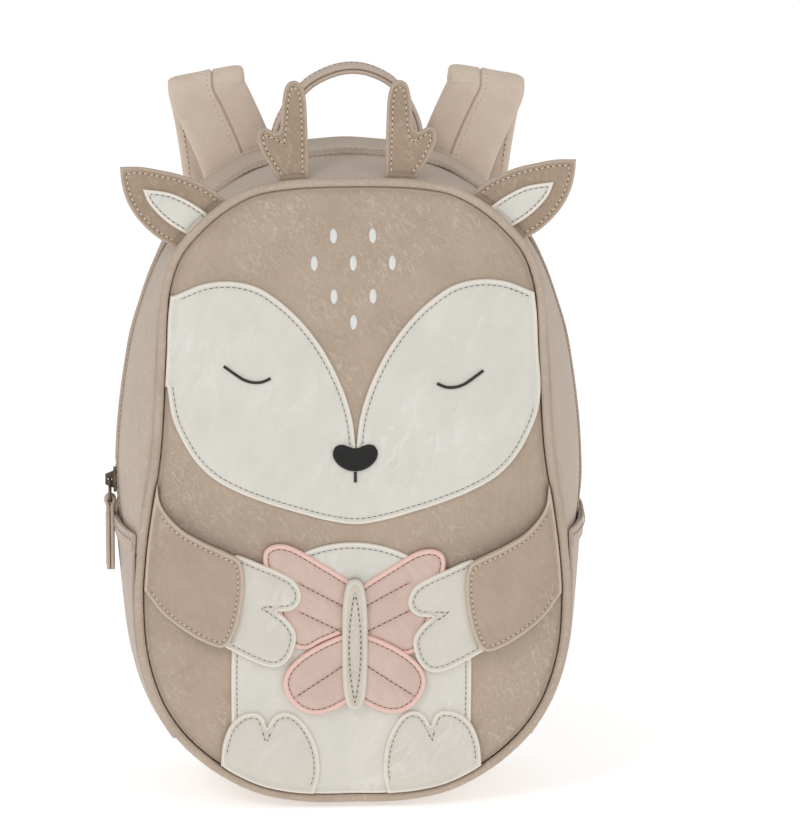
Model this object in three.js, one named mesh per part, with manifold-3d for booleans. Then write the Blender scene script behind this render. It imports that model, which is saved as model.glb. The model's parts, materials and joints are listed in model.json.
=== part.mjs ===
// Child's backpack in the shape of a fawn, sewn from faux leather, holding a butterfly.
// Millimetres. +X is to the right for someone who looks at the front, which faces -Y. +Z is up.
// The origin is the middle of the flat patch that the bag stands on.
import * as THREE from "three";
import { mergeVertices } from "three/addons/utils/BufferGeometryUtils.js";
import Module from "manifold-3d";

const wasm = await Module();
wasm.setup();

// Clearances and thicknesses
const GAP = 0.3; // between two pieces that lie on each other
const GUSSET_WALL = 2.5; // lined leather of the sides
const PANEL_WALL = 3; // padded leather of the front
const PATCH = 1.3; // one sewn-on layer of leather
const PLUSH_PATCH = 2.6; // a sewn-on layer with a little filling
const THREAD_RELIEF = 0.8; // embroidery above its leather

// Bag
const BODY_WIDTH = 198; // front seam, widest
const BODY_HEIGHT = 291.4; // front seam, lowest to highest point
const BODY_DEPTH = 92; // front seam to back seam
const SEAM_LIFT = 6.6; // front seam's lowest point above the floor
const FRONT_CROWN = 11; // how far the padded front swells out of its seam
const SIDE_SWELL = 20.8; // most that the sides stand out of the front seam
const SWELL_FULLNESS = 3.2; // 2 is an even curve from front to back, more is boxier
const BACK_SPREAD = 11.6; // how much larger the back is than the front, at the top
const PIPING = 4.2; // diameter of the piping
const BACK_EDGE = 3;
const BACK_CROWN = 6;
const CROSS_SEAM = 122; // height where the zip gusset meets the bottom gusset

// Zip and its pull
const ZIP_WIDTH = 3.8;
const ZIP_THICKNESS = 1.4;
const ZIP_DEPTH = 0.9; // chain below the leather at its edges
const SLIDER_CLEAR = 16.4; // slider's middle above the mouth of the pocket
const SLIDER_LENGTH = 11;
const SLIDER_WIDTH = 8;
const SLIDER_PLATE = 1.5;
const BRIDGE_WIDTH = 2.4;
const BRIDGE_WALL = 1.1;
const BRIDGE_FOOT = 0.4; // half length of the bridge, share of the slider's length
const BRIDGE_TOP = 0.22;
const SLIDER_FOOT = 0.6; // part of the slider that reaches down to the chain, same share
const RING_WIRE = 1.5;
const RING_WIDTH = 12;
const RING_LENGTH = 10;
const PULL_LENGTH = 36;
const PULL_WIDTH = 13;
const PULL_THICKNESS = 4.2;
const WIRE_CLEARANCE = 0.35;
const RING_BEND = 2;
const PULL_SHOULDER = 3; // slope from the neck in the ring to the full width
const PULL_ROUND = 4;

// Side pockets
const POCKET_MOUTH = 132; // height of the mouth
const POCKET_WALL = 1.5;
const POCKET_STAND = 1; // how far the pocket stands off the side
const POCKET_INSET = 0.05; // share of the depth left free at each edge
const POCKET_RISE = 3; // stations over which it opens from its foot
const POCKET_FOOT = 0.2; // share of the half seam, from the bottom, where it ends

// Ears and antlers
const EAR_LENGTH = 45;
const EAR_THICKNESS = 3;
const EAR_ANGLE = 36.1; // degrees above level
const EAR_X = 70;
const EAR_RISE = 282.1;
const EAR_DRIFT = 1; // left ear sewn lower, right ear higher
const EAR_SHIFT = -1.6;
const INNER_EAR = 1.2;
const ANTLER_HEIGHT = 45;
const ANTLER_SPREAD = 24.3;
const ANTLER_INSIDE = 17.8; // from the middle to the inner edge
const ANTLER_ROOT = 302.5;
const ANTLER_THICKNESS = 4;
const ANTLER_DRIFT = -2.4;

// Face
const MASK_HALF = 88;
const MASK_HEIGHT = 115;
const MASK_FOOT = 140.2;
const MASK_DRIFT = 0.9; // the mask sits a little to the right
const NOSE_WIDTH = 21.2;
const NOSE_HEIGHT = 13.2;
const NOSE_FOOT = 165.8;
const NOSE_X = 0.5;
const MOUTH_LENGTH = 5;
const THREAD_BAND = 1.4; // width of an embroidered line
const EYE_WIDTH = 22;
const EYE_X = 49;
const EYE_FOOT = 207.3;
const EYE_DRIFT = 1.6; // left eye sewn higher, right eye lower
const FRECKLE_WIDTH = 3.4;
const FRECKLE_LENGTH = 7.2;
const FRECKLE_PITCH = 18.2;
const FRECKLE_FOOT = 236;
const FRECKLE_SPREAD = 40;

// Belly, feet, arms and paws
const BELLY_WIDTH = 113.5;
const BELLY_TOP = 131.5;
const BELLY_DRIFT = -1.3;
const FOOT_WIDTH = 46.8;
const FOOT_HEIGHT = 42;
const FOOT_X = 38.7;
const FOOT_SKEW = 0.11; // the right foot's cleft sits this much further in, share of half its width
const ARM_REACH = 46.2;
const CUFF_HALF = 21.5;
const CUFF_X = 52.2;
const ARM_RISE = 101.5;
const ARM_DRIFT = 1.8; // left arm sewn higher, right arm lower
const ARM_SLOPE_FROM = 80; // where the sleeve starts down to the seam
const ARM_SLOPE_TO = 96;
const PAW_REACH = 36;
const PAW_SPREAD = 26.5;
const PAW_X = 25.1;
const PAW_RISE = 97.2;

// Butterfly
const WING_SPAN = 43; // one side
const WING_HEIGHT = 43;
const WING_RISE = 86.7;
const WING_DRIFT = 1.6;
const LOW_WING_SPAN = 33.7;
const LOW_WING_HEIGHT = 39;
const LOW_WING_FOOT = 48.2;
const INSECT_LENGTH = 63.7;
const INSECT_WIDTH = 12;
const INSECT_RISE = 82.7;
const INSECT_THICKNESS = 3.4;
const INSECT_FULLNESS = 3.2; // 2 is an ellipse, more has blunter ends

// Handle
const HANDLE_HALF = 35;
const HANDLE_TOP = 344.2;
const HANDLE_LEAN = 3.4; // how far its top leans to the right
const HANDLE_ROOT = 298;
const HANDLE_WIDTH = 17;
const HANDLE_THICKNESS = 3.7;
const HANDLE_INSET = 9.5; // its middle in front of the back seam

// Shoulder straps
const STRAP_WIDTH = 37;
const STRAP_DRIFT = 1.6; // both straps lie a little to the right
const STRAP_PAD = 8;
const STRAP_EDGE = 6; // thickness left at the strap's sewn edges
const STRAP_BEVEL = 4; // width of the slope down to that edge
const STRAP_PEAK = 343; // highest point of the fold's middle
const STRAP_FOLD = 4.6; // radius of the fold's middle line
const STRAP_STAND = 9; // middle of the rising layer behind the back seam
const STRAP_BOW = 38; // how far behind the back seam the strap bows
const TONGUE_WIDTH = 22;
const TONGUE_THICKNESS = 2;
const WEBBING_WIDTH = 20;
const WEBBING_THICKNESS = 1.6;
const ADJUSTER_WIDTH = 31;
const ADJUSTER_LENGTH = 28;
const ADJUSTER_BAR = 3;
const ADJUSTER_THICKNESS = 2.4;
const ANCHOR_WIDTH = 30;
const ANCHOR_HEIGHT = 26;
const ANCHOR_TAPER = 0.8; // share of its width left at its lower edge
const ANCHOR_GRIP = [0.35, -0.3]; // webbing sewn on, shares of the height about the middle
const ANCHOR_X = 62;
const ANCHOR_RISE = 50;
const ANCHOR_STAND = 10.5; // its face behind the back seam

// Materials
const leather = (color) => new THREE.MeshStandardMaterial({ color, roughness: 0.6, metalness: 0 });
const MATERIALS = {
  tan: leather(0xb39c86),
  cream: leather(0xd9d6cc),
  pink: leather(0xd3a199),
  black: leather(0x26221f),
  thread: leather(0xe8e4da),
  webbing: leather(0xa08c77),
  brass: new THREE.MeshStandardMaterial({ color: 0x6e5a3c, roughness: 0.35, metalness: 0.9 }),
};

// Tables

// Front seam: shares of half the width and of the height, up one side from the bottom.
const SEAM_SHAPE = [
  { across: 0.0, up: 0.0 },
  { across: 0.22, up: 0.001 },
  { across: 0.45, up: 0.016 },
  { across: 0.69, up: 0.063 },
  { across: 0.87, up: 0.13 },
  { across: 0.97, up: 0.215 },
  { across: 1.0, up: 0.31 },
  { across: 0.986, up: 0.4 },
  { across: 0.948, up: 0.492 },
  { across: 0.914, up: 0.558 },
  { across: 0.895, up: 0.65 },
  { across: 0.877, up: 0.75 },
  { across: 0.86, up: 0.835 },
  { across: 0.8, up: 0.893 },
  { across: 0.68, up: 0.939 },
  { across: 0.5, up: 0.982 },
  { across: 0.3, up: 0.997 },
  { across: 0.0, up: 1.0 },
];

// Sides: along the half seam from the bottom, how far the middle stands out (share of
// SIDE_SWELL) and how far the back seam does (share of BACK_SPREAD).
const SWELL = [
  { along: 0.0, middle: 0.58, back: 0.26 },
  { along: 0.2, middle: 0.43, back: 0.43 },
  { along: 0.31, middle: 0.35, back: 0.6 },
  { along: 0.35, middle: 0.34, back: 0.62 },
  { along: 0.38, middle: 0.375, back: 0.65 },
  { along: 0.415, middle: 0.48, back: 0.69 },
  { along: 0.45, middle: 0.61, back: 0.73 },
  { along: 0.48, middle: 0.78, back: 0.78 },
  { along: 0.51, middle: 0.91, back: 0.82 },
  { along: 0.55, middle: 1.0, back: 0.86 },
  { along: 0.62, middle: 0.93, back: 0.78 },
  { along: 0.68, middle: 0.78, back: 0.6 },
  { along: 0.74, middle: 0.44, back: 0.45 },
  { along: 0.8, middle: 0.265, back: 0.55 },
  { along: 0.86, middle: 0.235, back: 0.65 },
  { along: 0.91, middle: 0.385, back: 0.78 },
  { along: 1.0, middle: 0.515, back: 1.0 },
];

// Outlines below: strokes that meet at corners, each a smooth line through its points.

// Face mask, right half from the notch between its lobes: shares of MASK_HALF and MASK_HEIGHT.
const MASK_LOBE = [
  [0, 0.311], [0.018, 0.429], [0.053, 0.529], [0.109, 0.633], [0.191, 0.745], [0.3, 0.85],
  [0.4125, 0.927], [0.524, 0.979], [0.664, 1.0], [0.803, 0.988], [0.966, 0.936],
];
const MASK_CHEEK = [
  [1.0, 0.56], [0.975, 0.436], [0.919, 0.337], [0.847, 0.252], [0.75, 0.184], [0.623, 0.132],
  [0.457, 0.084], [0.302, 0.048], [0.16, 0.018], [0, 0],
];

// Nose, right half from the dip: shares of half its width and of its height.
const NOSE_SHAPE = [
  [0, 0.82], [0.24, 0.87], [0.55, 0.97], [0.85, 0.93], [1.0, 0.7], [0.94, 0.44], [0.7, 0.2],
  [0.34, 0.04], [0, 0],
];

// Closed eye, from its inner end: shares of EYE_WIDTH.
const EYE_SHAPE = [[-0.46, 0.06], [-0.28, -0.02], [-0.08, -0.03], [0.12, 0.03], [0.32, 0.16], [0.53, 0.31]];

// Freckles: rows of spots, as a share of FRECKLE_SPREAD above the lowest.
const FRECKLE_ROWS = [
  { rise: 1.0, spots: 2 },
  { rise: 0.685, spots: 3 },
  { rise: 0.3, spots: 2 },
  { rise: 0.0, spots: 1 },
];

// Foot: its outer lobe and its inner one, shares of half its width and of its height.
const FOOT_LOBES = [
  [
    [-1.0, -0.2], [-1.0, 0.34], [-0.95, 0.62], [-0.79, 0.857], [-0.53, 0.983], [-0.27, 1.0], [-0.14, 0.95],
    [-0.06, 0.83],
  ],
  [
    [-0.06, 0.83], [0.07, 0.955], [0.28, 1.01], [0.48, 0.985], [0.66, 0.9], [0.87, 0.707], [0.99, 0.474],
    [1.0, 0.233], [0.86, -0.05],
  ],
];

// Sleeve: shares of ARM_REACH out from the cuff and of CUFF_HALF up from its middle.
const SLEEVE_TOP = [[0.867, 2.6], [0.83, 2.12], [0.664, 1.69], [0.4, 1.36], [0.167, 1.14], [0.04, 0.98]];
const SLEEVE_CUFF = [
  [0.04, 0.98], [0.0, 0.62], [0.018, 0.005], [0.078, -0.55], [0.15, -0.88], [0.22, -0.985],
];
const SLEEVE_FOOT = [
  [0.22, -0.985], [0.376, -0.9], [0.61, -0.62], [0.829, -0.3], [0.958, 0.02], [1.0, 0.15],
];

// Paw: shares of PAW_REACH out from its tip and of PAW_SPREAD up from its cleft.
const PAW_UPPER = [
  [1.0, 0.9], [0.86, 1.02], [0.75, 0.99], [0.528, 0.868], [0.258, 0.709], [0.08, 0.55], [0.0, 0.31],
  [0.04, 0.12], [0.15, 0.02], [0.314, 0.0],
];
const PAW_LOWER = [
  [0.314, 0.0], [0.189, -0.14], [0.072, -0.389], [0.086, -0.634], [0.167, -0.883], [0.294, -1.01],
  [0.44, -1.015], [0.65, -0.906], [0.928, -0.709], [1.0, -0.66],
];

// Upper wing from the butterfly's middle: shares of WING_SPAN and WING_HEIGHT.
const WING_EDGE = [
  [0.015, 0.56], [0.18, 0.67], [0.33, 0.763], [0.54, 0.89], [0.653, 0.958], [0.774, 0.995],
  [0.886, 0.99], [0.974, 0.935], [1.0, 0.83], [0.93, 0.535], [0.837, 0.21], [0.744, -0.02],
  [0.686, -0.149], [0.53, -0.195], [0.35, -0.105], [0.015, 0.03],
];

// Lower wing: shares of LOW_WING_SPAN and LOW_WING_HEIGHT.
const LOW_WING_EDGE = [
  [0.02, 1.02], [0.18, 1.0], [0.389, 0.928], [0.6, 0.833], [0.79, 0.718], [0.935, 0.582], [1.0, 0.43],
  [0.97, 0.274], [0.86, 0.126], [0.7, 0.028], [0.513, 0.0], [0.335, 0.041], [0.116, 0.141], [0.02, 0.2],
];

// Ear: along its axis from the root and across it, shares of EAR_LENGTH.
const EAR_UPPER = [
  [-0.3, 0.34], [-0.08, 0.352], [0.1, 0.366], [0.27, 0.342], [0.46, 0.293], [0.65, 0.211],
  [0.83, 0.122], [1.0, 0.0],
];
const EAR_LOWER = [
  [1.0, 0.0], [0.912, -0.103], [0.783, -0.217], [0.62, -0.306], [0.44, -0.356], [0.245, -0.374],
  [0.08, -0.352], [-0.3, -0.3],
];
const INNER_EAR_UPPER = [
  [-0.3, 0.12], [-0.015, 0.135], [0.12, 0.136], [0.27, 0.122], [0.43, 0.085], [0.68, -0.045],
];
const INNER_EAR_LOWER = [
  [0.68, -0.045], [0.56, -0.12], [0.42, -0.16], [0.25, -0.178], [0.037, -0.165], [-0.3, -0.15],
];

// Antler: out from its inner edge and up from its root, shares of ANTLER_SPREAD and ANTLER_HEIGHT.
const ANTLER_STEM = [
  [0.0, -0.35], [0.0, -0.1], [0.016, 0.29], [0.03, 0.6], [0.06, 0.837], [0.14, 0.96], [0.27, 1.0],
  [0.4, 0.972], [0.47, 0.89], [0.5, 0.75], [0.53, 0.6], [0.56, 0.49],
];
const ANTLER_TINE = [
  [0.56, 0.49], [0.64, 0.463], [0.74, 0.49], [0.84, 0.522], [0.96, 0.49], [0.99, 0.4], [0.91, 0.27],
  [0.76, 0.126], [0.58, -0.03], [0.5, -0.35],
];

// Handle, right half from the top: shares of HANDLE_HALF and of its height.
const HANDLE_ARC = [
  { out: 0.0, up: 1.0 },
  { out: 0.25, up: 0.97 },
  { out: 0.57, up: 0.845 },
  { out: 0.83, up: 0.6 },
  { out: 0.96, up: 0.38 },
  { out: 1.02, up: 0.0 },
];

// Rising layer of a strap below its fold, then the falling layer, in shares of STRAP_PEAK up,
// of half the bag's width out, and of STRAP_BOW back; lean is the width's tilt in degrees.
const STRAP_RISE = [
  { out: 0.455, up: 0.79, lean: 19 },
  { out: 0.55, up: 0.88, lean: 19 },
  { out: 0.64, up: 0.94, lean: 14 },
];
const STRAP_TOP = { out: 0.686, up: 0.968, lean: 10 };
const STRAP_FALL = [
  { out: 0.66, back: 0.536, up: 0.93, lean: 10 },
  { out: 0.62, back: 0.624, up: 0.85, lean: 8 },
  { out: 0.58, back: 0.856, up: 0.72, lean: 4 },
  { out: 0.57, back: 1.0, up: 0.585, lean: 0 },
  { out: 0.59, back: 0.945, up: 0.45, lean: 0 },
  { out: 0.635, back: 0.724, up: 0.335, lean: -2 },
];
// Middle of the webbing below the adjuster, in the same shares.
const STRAP_TAIL = [
  { out: 0.665, back: 0.48, up: 0.238 },
  { out: 0.645, back: 0.37, up: 0.205 },
];

// Solids

const PLAIN = { bevelEnabled: false, curveSegments: 8 }; // for every extrusion

function solidOf(geometry) {
  const bare = geometry.index ? geometry.toNonIndexed() : geometry.clone();
  bare.deleteAttribute("normal");
  bare.deleteAttribute("uv");
  const merged = mergeVertices(bare, 1e-4);
  return new wasm.Manifold(
    new wasm.Mesh({
      numProp: 3,
      vertProperties: merged.attributes.position.array,
      triVerts: new Uint32Array(merged.index.array),
    }),
  );
}

function geometryOf(solid) {
  const mesh = solid.getMesh();
  const positions = new Float32Array(mesh.numVert * 3);
  for (let i = 0; i < mesh.numVert; i++) {
    positions.set(mesh.vertProperties.subarray(i * mesh.numProp, i * mesh.numProp + 3), i * 3);
  }
  const geometry = new THREE.BufferGeometry();
  geometry.setAttribute("position", new THREE.BufferAttribute(positions, 3));
  geometry.setIndex(new THREE.BufferAttribute(mesh.triVerts, 1));
  geometry.computeVertexNormals();
  return geometry;
}

// Triangles given by points and indices, turned to face outwards.
function closedGeometry(points, index) {
  let volume = 0;
  for (let i = 0; i < index.length; i += 3) {
    const [a, b, c] = [points[index[i]], points[index[i + 1]], points[index[i + 2]]];
    volume += a.dot(new THREE.Vector3().crossVectors(b, c));
  }
  if (volume < 0) index.reverse();
  const geometry = new THREE.BufferGeometry().setFromPoints(points);
  geometry.setIndex(index);
  return geometry;
}

// Triangles that close a flat ring of points.
function capIndex(ring) {
  const normal = new THREE.Vector3();
  ring.forEach((point, i) => {
    normal.add(new THREE.Vector3().crossVectors(point, ring[(i + 1) % ring.length]));
  });
  normal.normalize();
  const side = new THREE.Vector3().subVectors(ring[1], ring[0]).projectOnPlane(normal).normalize();
  const up = new THREE.Vector3().crossVectors(normal, side);
  const flat = ring.map((point) => new THREE.Vector2(point.dot(side), point.dot(up)));
  return THREE.ShapeUtils.triangulateShape(flat, []);
}

// A skin drawn over sections that all have as many points. It is closed on itself or capped.
function loft(sections, looped = false) {
  const count = sections[0].length;
  const spans = looped ? sections.length : sections.length - 1;
  const index = [];
  for (let i = 0; i < spans; i++) {
    const here = i * count;
    const next = ((i + 1) % sections.length) * count;
    for (let j = 0; j < count; j++) {
      const k = (j + 1) % count;
      index.push(here + j, here + k, next + k, here + j, next + k, next + j);
    }
  }
  if (!looped) {
    const last = (sections.length - 1) * count;
    for (const [a, b, c] of capIndex(sections[0])) index.push(a, c, b);
    for (const [a, b, c] of capIndex(sections.at(-1))) index.push(last + a, last + b, last + c);
  }
  return closedGeometry(sections.flat(), index);
}

// A flat outline in X and Z, given depth along Y.
function prism(points, fromY, toY) {
  const shape = new THREE.Shape(points);
  const geometry = new THREE.ExtrudeGeometry(shape, { ...PLAIN, depth: toY - fromY });
  geometry.rotateX(Math.PI / 2);
  geometry.translate(0, toY, 0);
  return solidOf(geometry);
}

// Points of a smooth stroke through the given pairs, without its last point.
function stroke(pairs, place, perSpan = 1) {
  const curve = new THREE.SplineCurve(pairs.map(([u, v]) => place(u, v)));
  return curve.getPoints((pairs.length - 1) * perSpan).slice(0, -1);
}

function closedSpline(pairs, place, perSpan = 1) {
  return stroke([...pairs, pairs[0]], place, perSpan);
}

// The right half of a symmetrical outline, with the mirrored half after it.
function mirrored(half, middle = 0) {
  const other = half
    .filter((point) => Math.abs(point.x - middle) > 0.01)
    .map((point) => new THREE.Vector2(2 * middle - point.x, point.y))
    .reverse();
  return [...half, ...other];
}

// An oval with blunt ends: 2 is an ellipse, and more is fuller.
function bluntOval(halfWidth, halfHeight, fullness, count) {
  const share = (value) => Math.sign(value) * Math.abs(value) ** (2 / fullness);
  return Array.from({ length: count }, (_, i) => {
    const angle = ((i + 0.5) / count) * 2 * Math.PI;
    return new THREE.Vector2(halfWidth * share(Math.cos(angle)), halfHeight * share(Math.sin(angle)));
  });
}

// The band that a thread of some width covers along a line.
function ribbon(points, width) {
  const offset = (side) =>
    points.map((point, i) => {
      const before = points[Math.max(i - 1, 0)];
      const after = points[Math.min(i + 1, points.length - 1)];
      const along = new THREE.Vector2().subVectors(after, before).normalize();
      return new THREE.Vector2(point.x - (along.y * side * width) / 2, point.y + (along.x * side * width) / 2);
    });
  return [...offset(1), ...offset(-1).reverse()];
}

// Value of a table's column at a place between its rows.
function between(rows, key, at, column) {
  const next = Math.max(1, rows.findIndex((row) => row[key] >= at));
  const [a, b] = [rows[next - 1], rows[next]];
  return THREE.MathUtils.mapLinear(at, a[key], b[key], a[column], b[column]);
}

// Front seam and the stations along it

const HALF_WIDTH = BODY_WIDTH / 2;
const FRONT_Y = -BODY_DEPTH / 2;
const BACK_Y = BODY_DEPTH / 2;
const HANDLE_Y = BACK_Y - HANDLE_INSET;
const STRAP_Y = BACK_Y + STRAP_STAND;
const ANCHOR_FACE = BACK_Y + ANCHOR_STAND;
const MIDDLE = new THREE.Vector2(0, SEAM_LIFT + BODY_HEIGHT / 2);

const seamSide = SEAM_SHAPE.map(
  ({ across, up }) => new THREE.Vector3(across * HALF_WIDTH, 0, SEAM_LIFT + up * BODY_HEIGHT),
);
const seamCurve = new THREE.CatmullRomCurve3(
  [...seamSide, ...seamSide.slice(1, -1).reverse().map((p) => new THREE.Vector3(-p.x, 0, p.z))],
  true,
);
seamCurve.arcLengthDivisions = 800;

// Share of the half seam at a height.
function alongAt(height) {
  let [low, high] = [0, 1];
  for (let i = 0; i < 30; i++) {
    const guess = (low + high) / 2;
    if (seamCurve.getPointAt(guess / 2).z < height) low = guess;
    else high = guess;
  }
  return (low + high) / 2;
}

// A place on the seam of one side: its point, the outward and the running direction, and the swell.
function station(along, side = 1) {
  const point = seamCurve.getPointAt(along / 2);
  const ahead = seamCurve.getTangentAt(along / 2);
  return {
    point: new THREE.Vector2(side * point.x, point.z),
    out: new THREE.Vector2(side * ahead.z, -ahead.x),
    up: new THREE.Vector2(side * ahead.x, ahead.z),
    middle: between(SWELL, "along", along, "middle") * SIDE_SWELL,
    back: between(SWELL, "along", along, "back") * BACK_SPREAD,
  };
}

// The same place moved a little up the seam.
function raised(place, distance) {
  return { ...place, point: place.point.clone().addScaledVector(place.up, distance) };
}

const LOWER_STEPS = 12;
const UPPER_STEPS = 15;
const crossAlong = alongAt(CROSS_SEAM);
const mouthAlong = alongAt(POCKET_MOUTH);
const lowerShares = Array.from({ length: LOWER_STEPS + 1 }, (_, i) => (i / LOWER_STEPS) * crossAlong);
const upperShares = Array.from(
  { length: UPPER_STEPS + 1 },
  (_, i) => mouthAlong + (i / UPPER_STEPS) * (1 - mouthAlong),
);
const halfShares = [...lowerShares, ...upperShares];
const rightStations = halfShares.map((along) => station(along));
const leftStations = halfShares.map((along) => station(along, -1));
const ringStations = [...rightStations, ...leftStations.slice(1, -1).reverse()];

// How far the side stands out of the front seam, at a share of the depth from the front.
function swellAt(place, share) {
  const edge = GAP + GUSSET_WALL;
  const straight = THREE.MathUtils.lerp(edge, place.back, share);
  const belly = 1 - Math.abs(2 * share - 1) ** SWELL_FULLNESS;
  return straight + (place.middle - (edge + place.back) / 2) * belly;
}

// A point off the seam at a share of the depth, no lower than the floor given.
function offSeam(place, outwards, y, floor = 0) {
  const flat = place.point.clone().addScaledVector(place.out, outwards);
  return new THREE.Vector3(flat.x, y, Math.max(flat.y, floor));
}

const depthAt = (share) => FRONT_Y + share * BODY_DEPTH;

// Panels: rings of points shrunk from a rim towards the middle, two faces and the edge between.
const RINGS = [0.45, 0.75, 0.92, 1];

function panel(rim, nearY, farY) {
  const points = [];
  for (const faceY of [nearY, farY]) {
    points.push(new THREE.Vector3(MIDDLE.x, faceY(0, MIDDLE), MIDDLE.y));
    for (const r of RINGS) {
      for (const edge of rim) {
        const flat = new THREE.Vector2().lerpVectors(MIDDLE, edge, r);
        points.push(new THREE.Vector3(flat.x, faceY(r, flat), flat.y));
      }
    }
  }
  const count = rim.length;
  const face = 1 + count * RINGS.length;
  const index = [];
  for (let j = 0; j < count; j++) {
    const k = (j + 1) % count;
    for (const [first, turn] of [[0, 1], [face, 0]]) {
      const add = (a, b, c) => index.push(first + a, first + (turn ? b : c), first + (turn ? c : b));
      add(0, 1 + j, 1 + k);
      for (let ring = 0; ring + 1 < RINGS.length; ring++) {
        const inner = 1 + ring * count;
        const outer = inner + count;
        add(inner + j, outer + j, outer + k);
        add(inner + j, outer + k, inner + k);
      }
    }
    const edge = 1 + count * (RINGS.length - 1);
    index.push(edge + j, face + edge + k, edge + k, edge + j, face + edge + j, face + edge + k);
  }
  return closedGeometry(points, index);
}

const seamRim = ringStations.map((place) => place.point);
const frontFace = (r) => FRONT_Y - FRONT_CROWN * (1 - r ** 4);

// A layer over the front, between two distances from it, cut to an outline.
function patchOver(outline, low, high) {
  const layer = panel(
    seamRim,
    (r, flat) => frontFace(r) - (typeof high === "function" ? high(flat) : high),
    (r, flat) => frontFace(r) - (typeof low === "function" ? low(flat) : low),
  );
  return solidOf(layer).intersect(prism(outline, 2 * FRONT_Y, 0));
}

// Layers of the front, by their distance from the padded front.
const BELLY_LIFT = GAP;
const FOOT_LIFT = BELLY_LIFT + PATCH + GAP;
const WING_LIFT = BELLY_LIFT + PATCH + GAP;
const LOW_WING_LIFT = WING_LIFT + PATCH + GAP;
const INSECT_LIFT = LOW_WING_LIFT + PATCH + GAP;
const PAW_LIFT = LOW_WING_LIFT;
const ARM_LIFT = PAW_LIFT + PLUSH_PATCH + GAP;
const FACE_LIFT = GAP;
const FEATURE_LIFT = FACE_LIFT + PATCH + GAP;

// The whole closed body grown by a clearance, for seating what is sewn to it.
const SIDE_SHARES = [0.11, 0.28, 0.5, 0.72, 0.89]; // folds of the sides, shares of the depth
const DRUM_SHARES = [0, ...SIDE_SHARES, 1];
function bodyEnvelope(clearance) {
  const rings = DRUM_SHARES.map((share) =>
    ringStations.map((place) => offSeam(place, swellAt(place, share) + clearance, depthAt(share), -clearance)),
  );
  for (const r of [...RINGS].reverse()) {
    const y = backFace(r) + clearance;
    rings.push(
      ringStations.map((place) => {
        const edge = offSeam(place, place.back + clearance, y);
        const flat = new THREE.Vector2(edge.x, edge.z).lerp(MIDDLE, 1 - r);
        return new THREE.Vector3(flat.x, y, flat.y);
      }),
    );
  }
  return solidOf(loft(rings));
}
const backFace = (r) => BACK_Y + BACK_EDGE + BACK_CROWN * (1 - r ** 4);
const seating = bodyEnvelope(GAP);

// Assembly

const bag = new THREE.Group();

function add(parent, name, shape, material) {
  const geometry = shape.isBufferGeometry ? shape : geometryOf(shape);
  const mesh = new THREE.Mesh(geometry, material);
  mesh.name = name;
  parent.add(mesh);
  return mesh;
}

const SIDES = [
  { name: "left", sign: -1, stations: leftStations },
  { name: "right", sign: 1, stations: rightStations },
];

// Body shell

function addShell() {
  add(bag, "front_panel", panel(seamRim, (r) => frontFace(r), (r) => frontFace(r) + PANEL_WALL), MATERIALS.tan);

  const pipingSides = 8;
  const pipingY = FRONT_Y + GAP;
  const piping = ringStations.map((place) =>
    Array.from({ length: pipingSides }, (_, i) => {
      const angle = ((i + 0.5) / pipingSides) * 2 * Math.PI;
      const out = GAP + PIPING / 2 + (Math.cos(angle) * PIPING) / 2;
      return offSeam(place, out, pipingY + (Math.sin(angle) * PIPING) / 2);
    }),
  );
  add(bag, "front_piping", loft(piping, true), MATERIALS.tan);

  const backRim = ringStations.map((place) => {
    const edge = offSeam(place, place.back, BACK_Y);
    return new THREE.Vector2(edge.x, edge.z);
  });
  add(bag, "back_panel", panel(backRim, () => BACK_Y, backFace), MATERIALS.tan);
}

// A strip of the side between two shares of the depth, over a run of stations.
function gussetStrip(places, shares) {
  const sections = places.map((place) => [
    ...shares.map((share) => offSeam(place, swellAt(place, share), depthAt(share))),
    ...[...shares]
      .reverse()
      .map((share) => offSeam(place, swellAt(place, share) - GUSSET_WALL, depthAt(share), GUSSET_WALL)),
  ]);
  return loft(sections);
}

const stripFront = (PANEL_WALL + GAP) / BODY_DEPTH;
const stripBack = 1 - GAP / BODY_DEPTH;
const zipFront = 0.5 - ZIP_WIDTH / 2 / BODY_DEPTH;
const zipBack = 0.5 + ZIP_WIDTH / 2 / BODY_DEPTH;

function addSides() {
  const upperRight = [
    raised(station(crossAlong), GAP),
    ...upperShares.map((along) => station(along)),
  ];
  const upperLeft = [
    raised(station(crossAlong, -1), GAP),
    ...upperShares.slice(0, -1).map((along) => station(along, -1)),
  ];
  const upper = [...upperRight, ...upperLeft.reverse()];
  const lower = [
    ...leftStations.slice(1, LOWER_STEPS + 1).reverse(),
    ...rightStations.slice(0, LOWER_STEPS + 1),
  ];

  const frontShares = [stripFront, ...SIDE_SHARES.slice(0, 2), zipFront];
  const backShares = [zipBack, ...SIDE_SHARES.slice(-2), stripBack];
  add(bag, "gusset_front", gussetStrip(upper, frontShares), MATERIALS.tan);
  add(bag, "gusset_back", gussetStrip(upper, backShares), MATERIALS.tan);
  add(bag, "bottom_gusset", gussetStrip(lower, [stripFront, ...SIDE_SHARES, stripBack]), MATERIALS.tan);

  const half = ZIP_WIDTH / 2 - GAP;
  const chain = upper.map((place) => {
    const top = swellAt(place, zipFront) - ZIP_DEPTH;
    return [
      offSeam(place, top, -half),
      offSeam(place, top, half),
      offSeam(place, top - ZIP_THICKNESS, half),
      offSeam(place, top - ZIP_THICKNESS, -half),
    ];
  });
  add(bag, "zip_chain", loft(chain), MATERIALS.brass);
}

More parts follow.
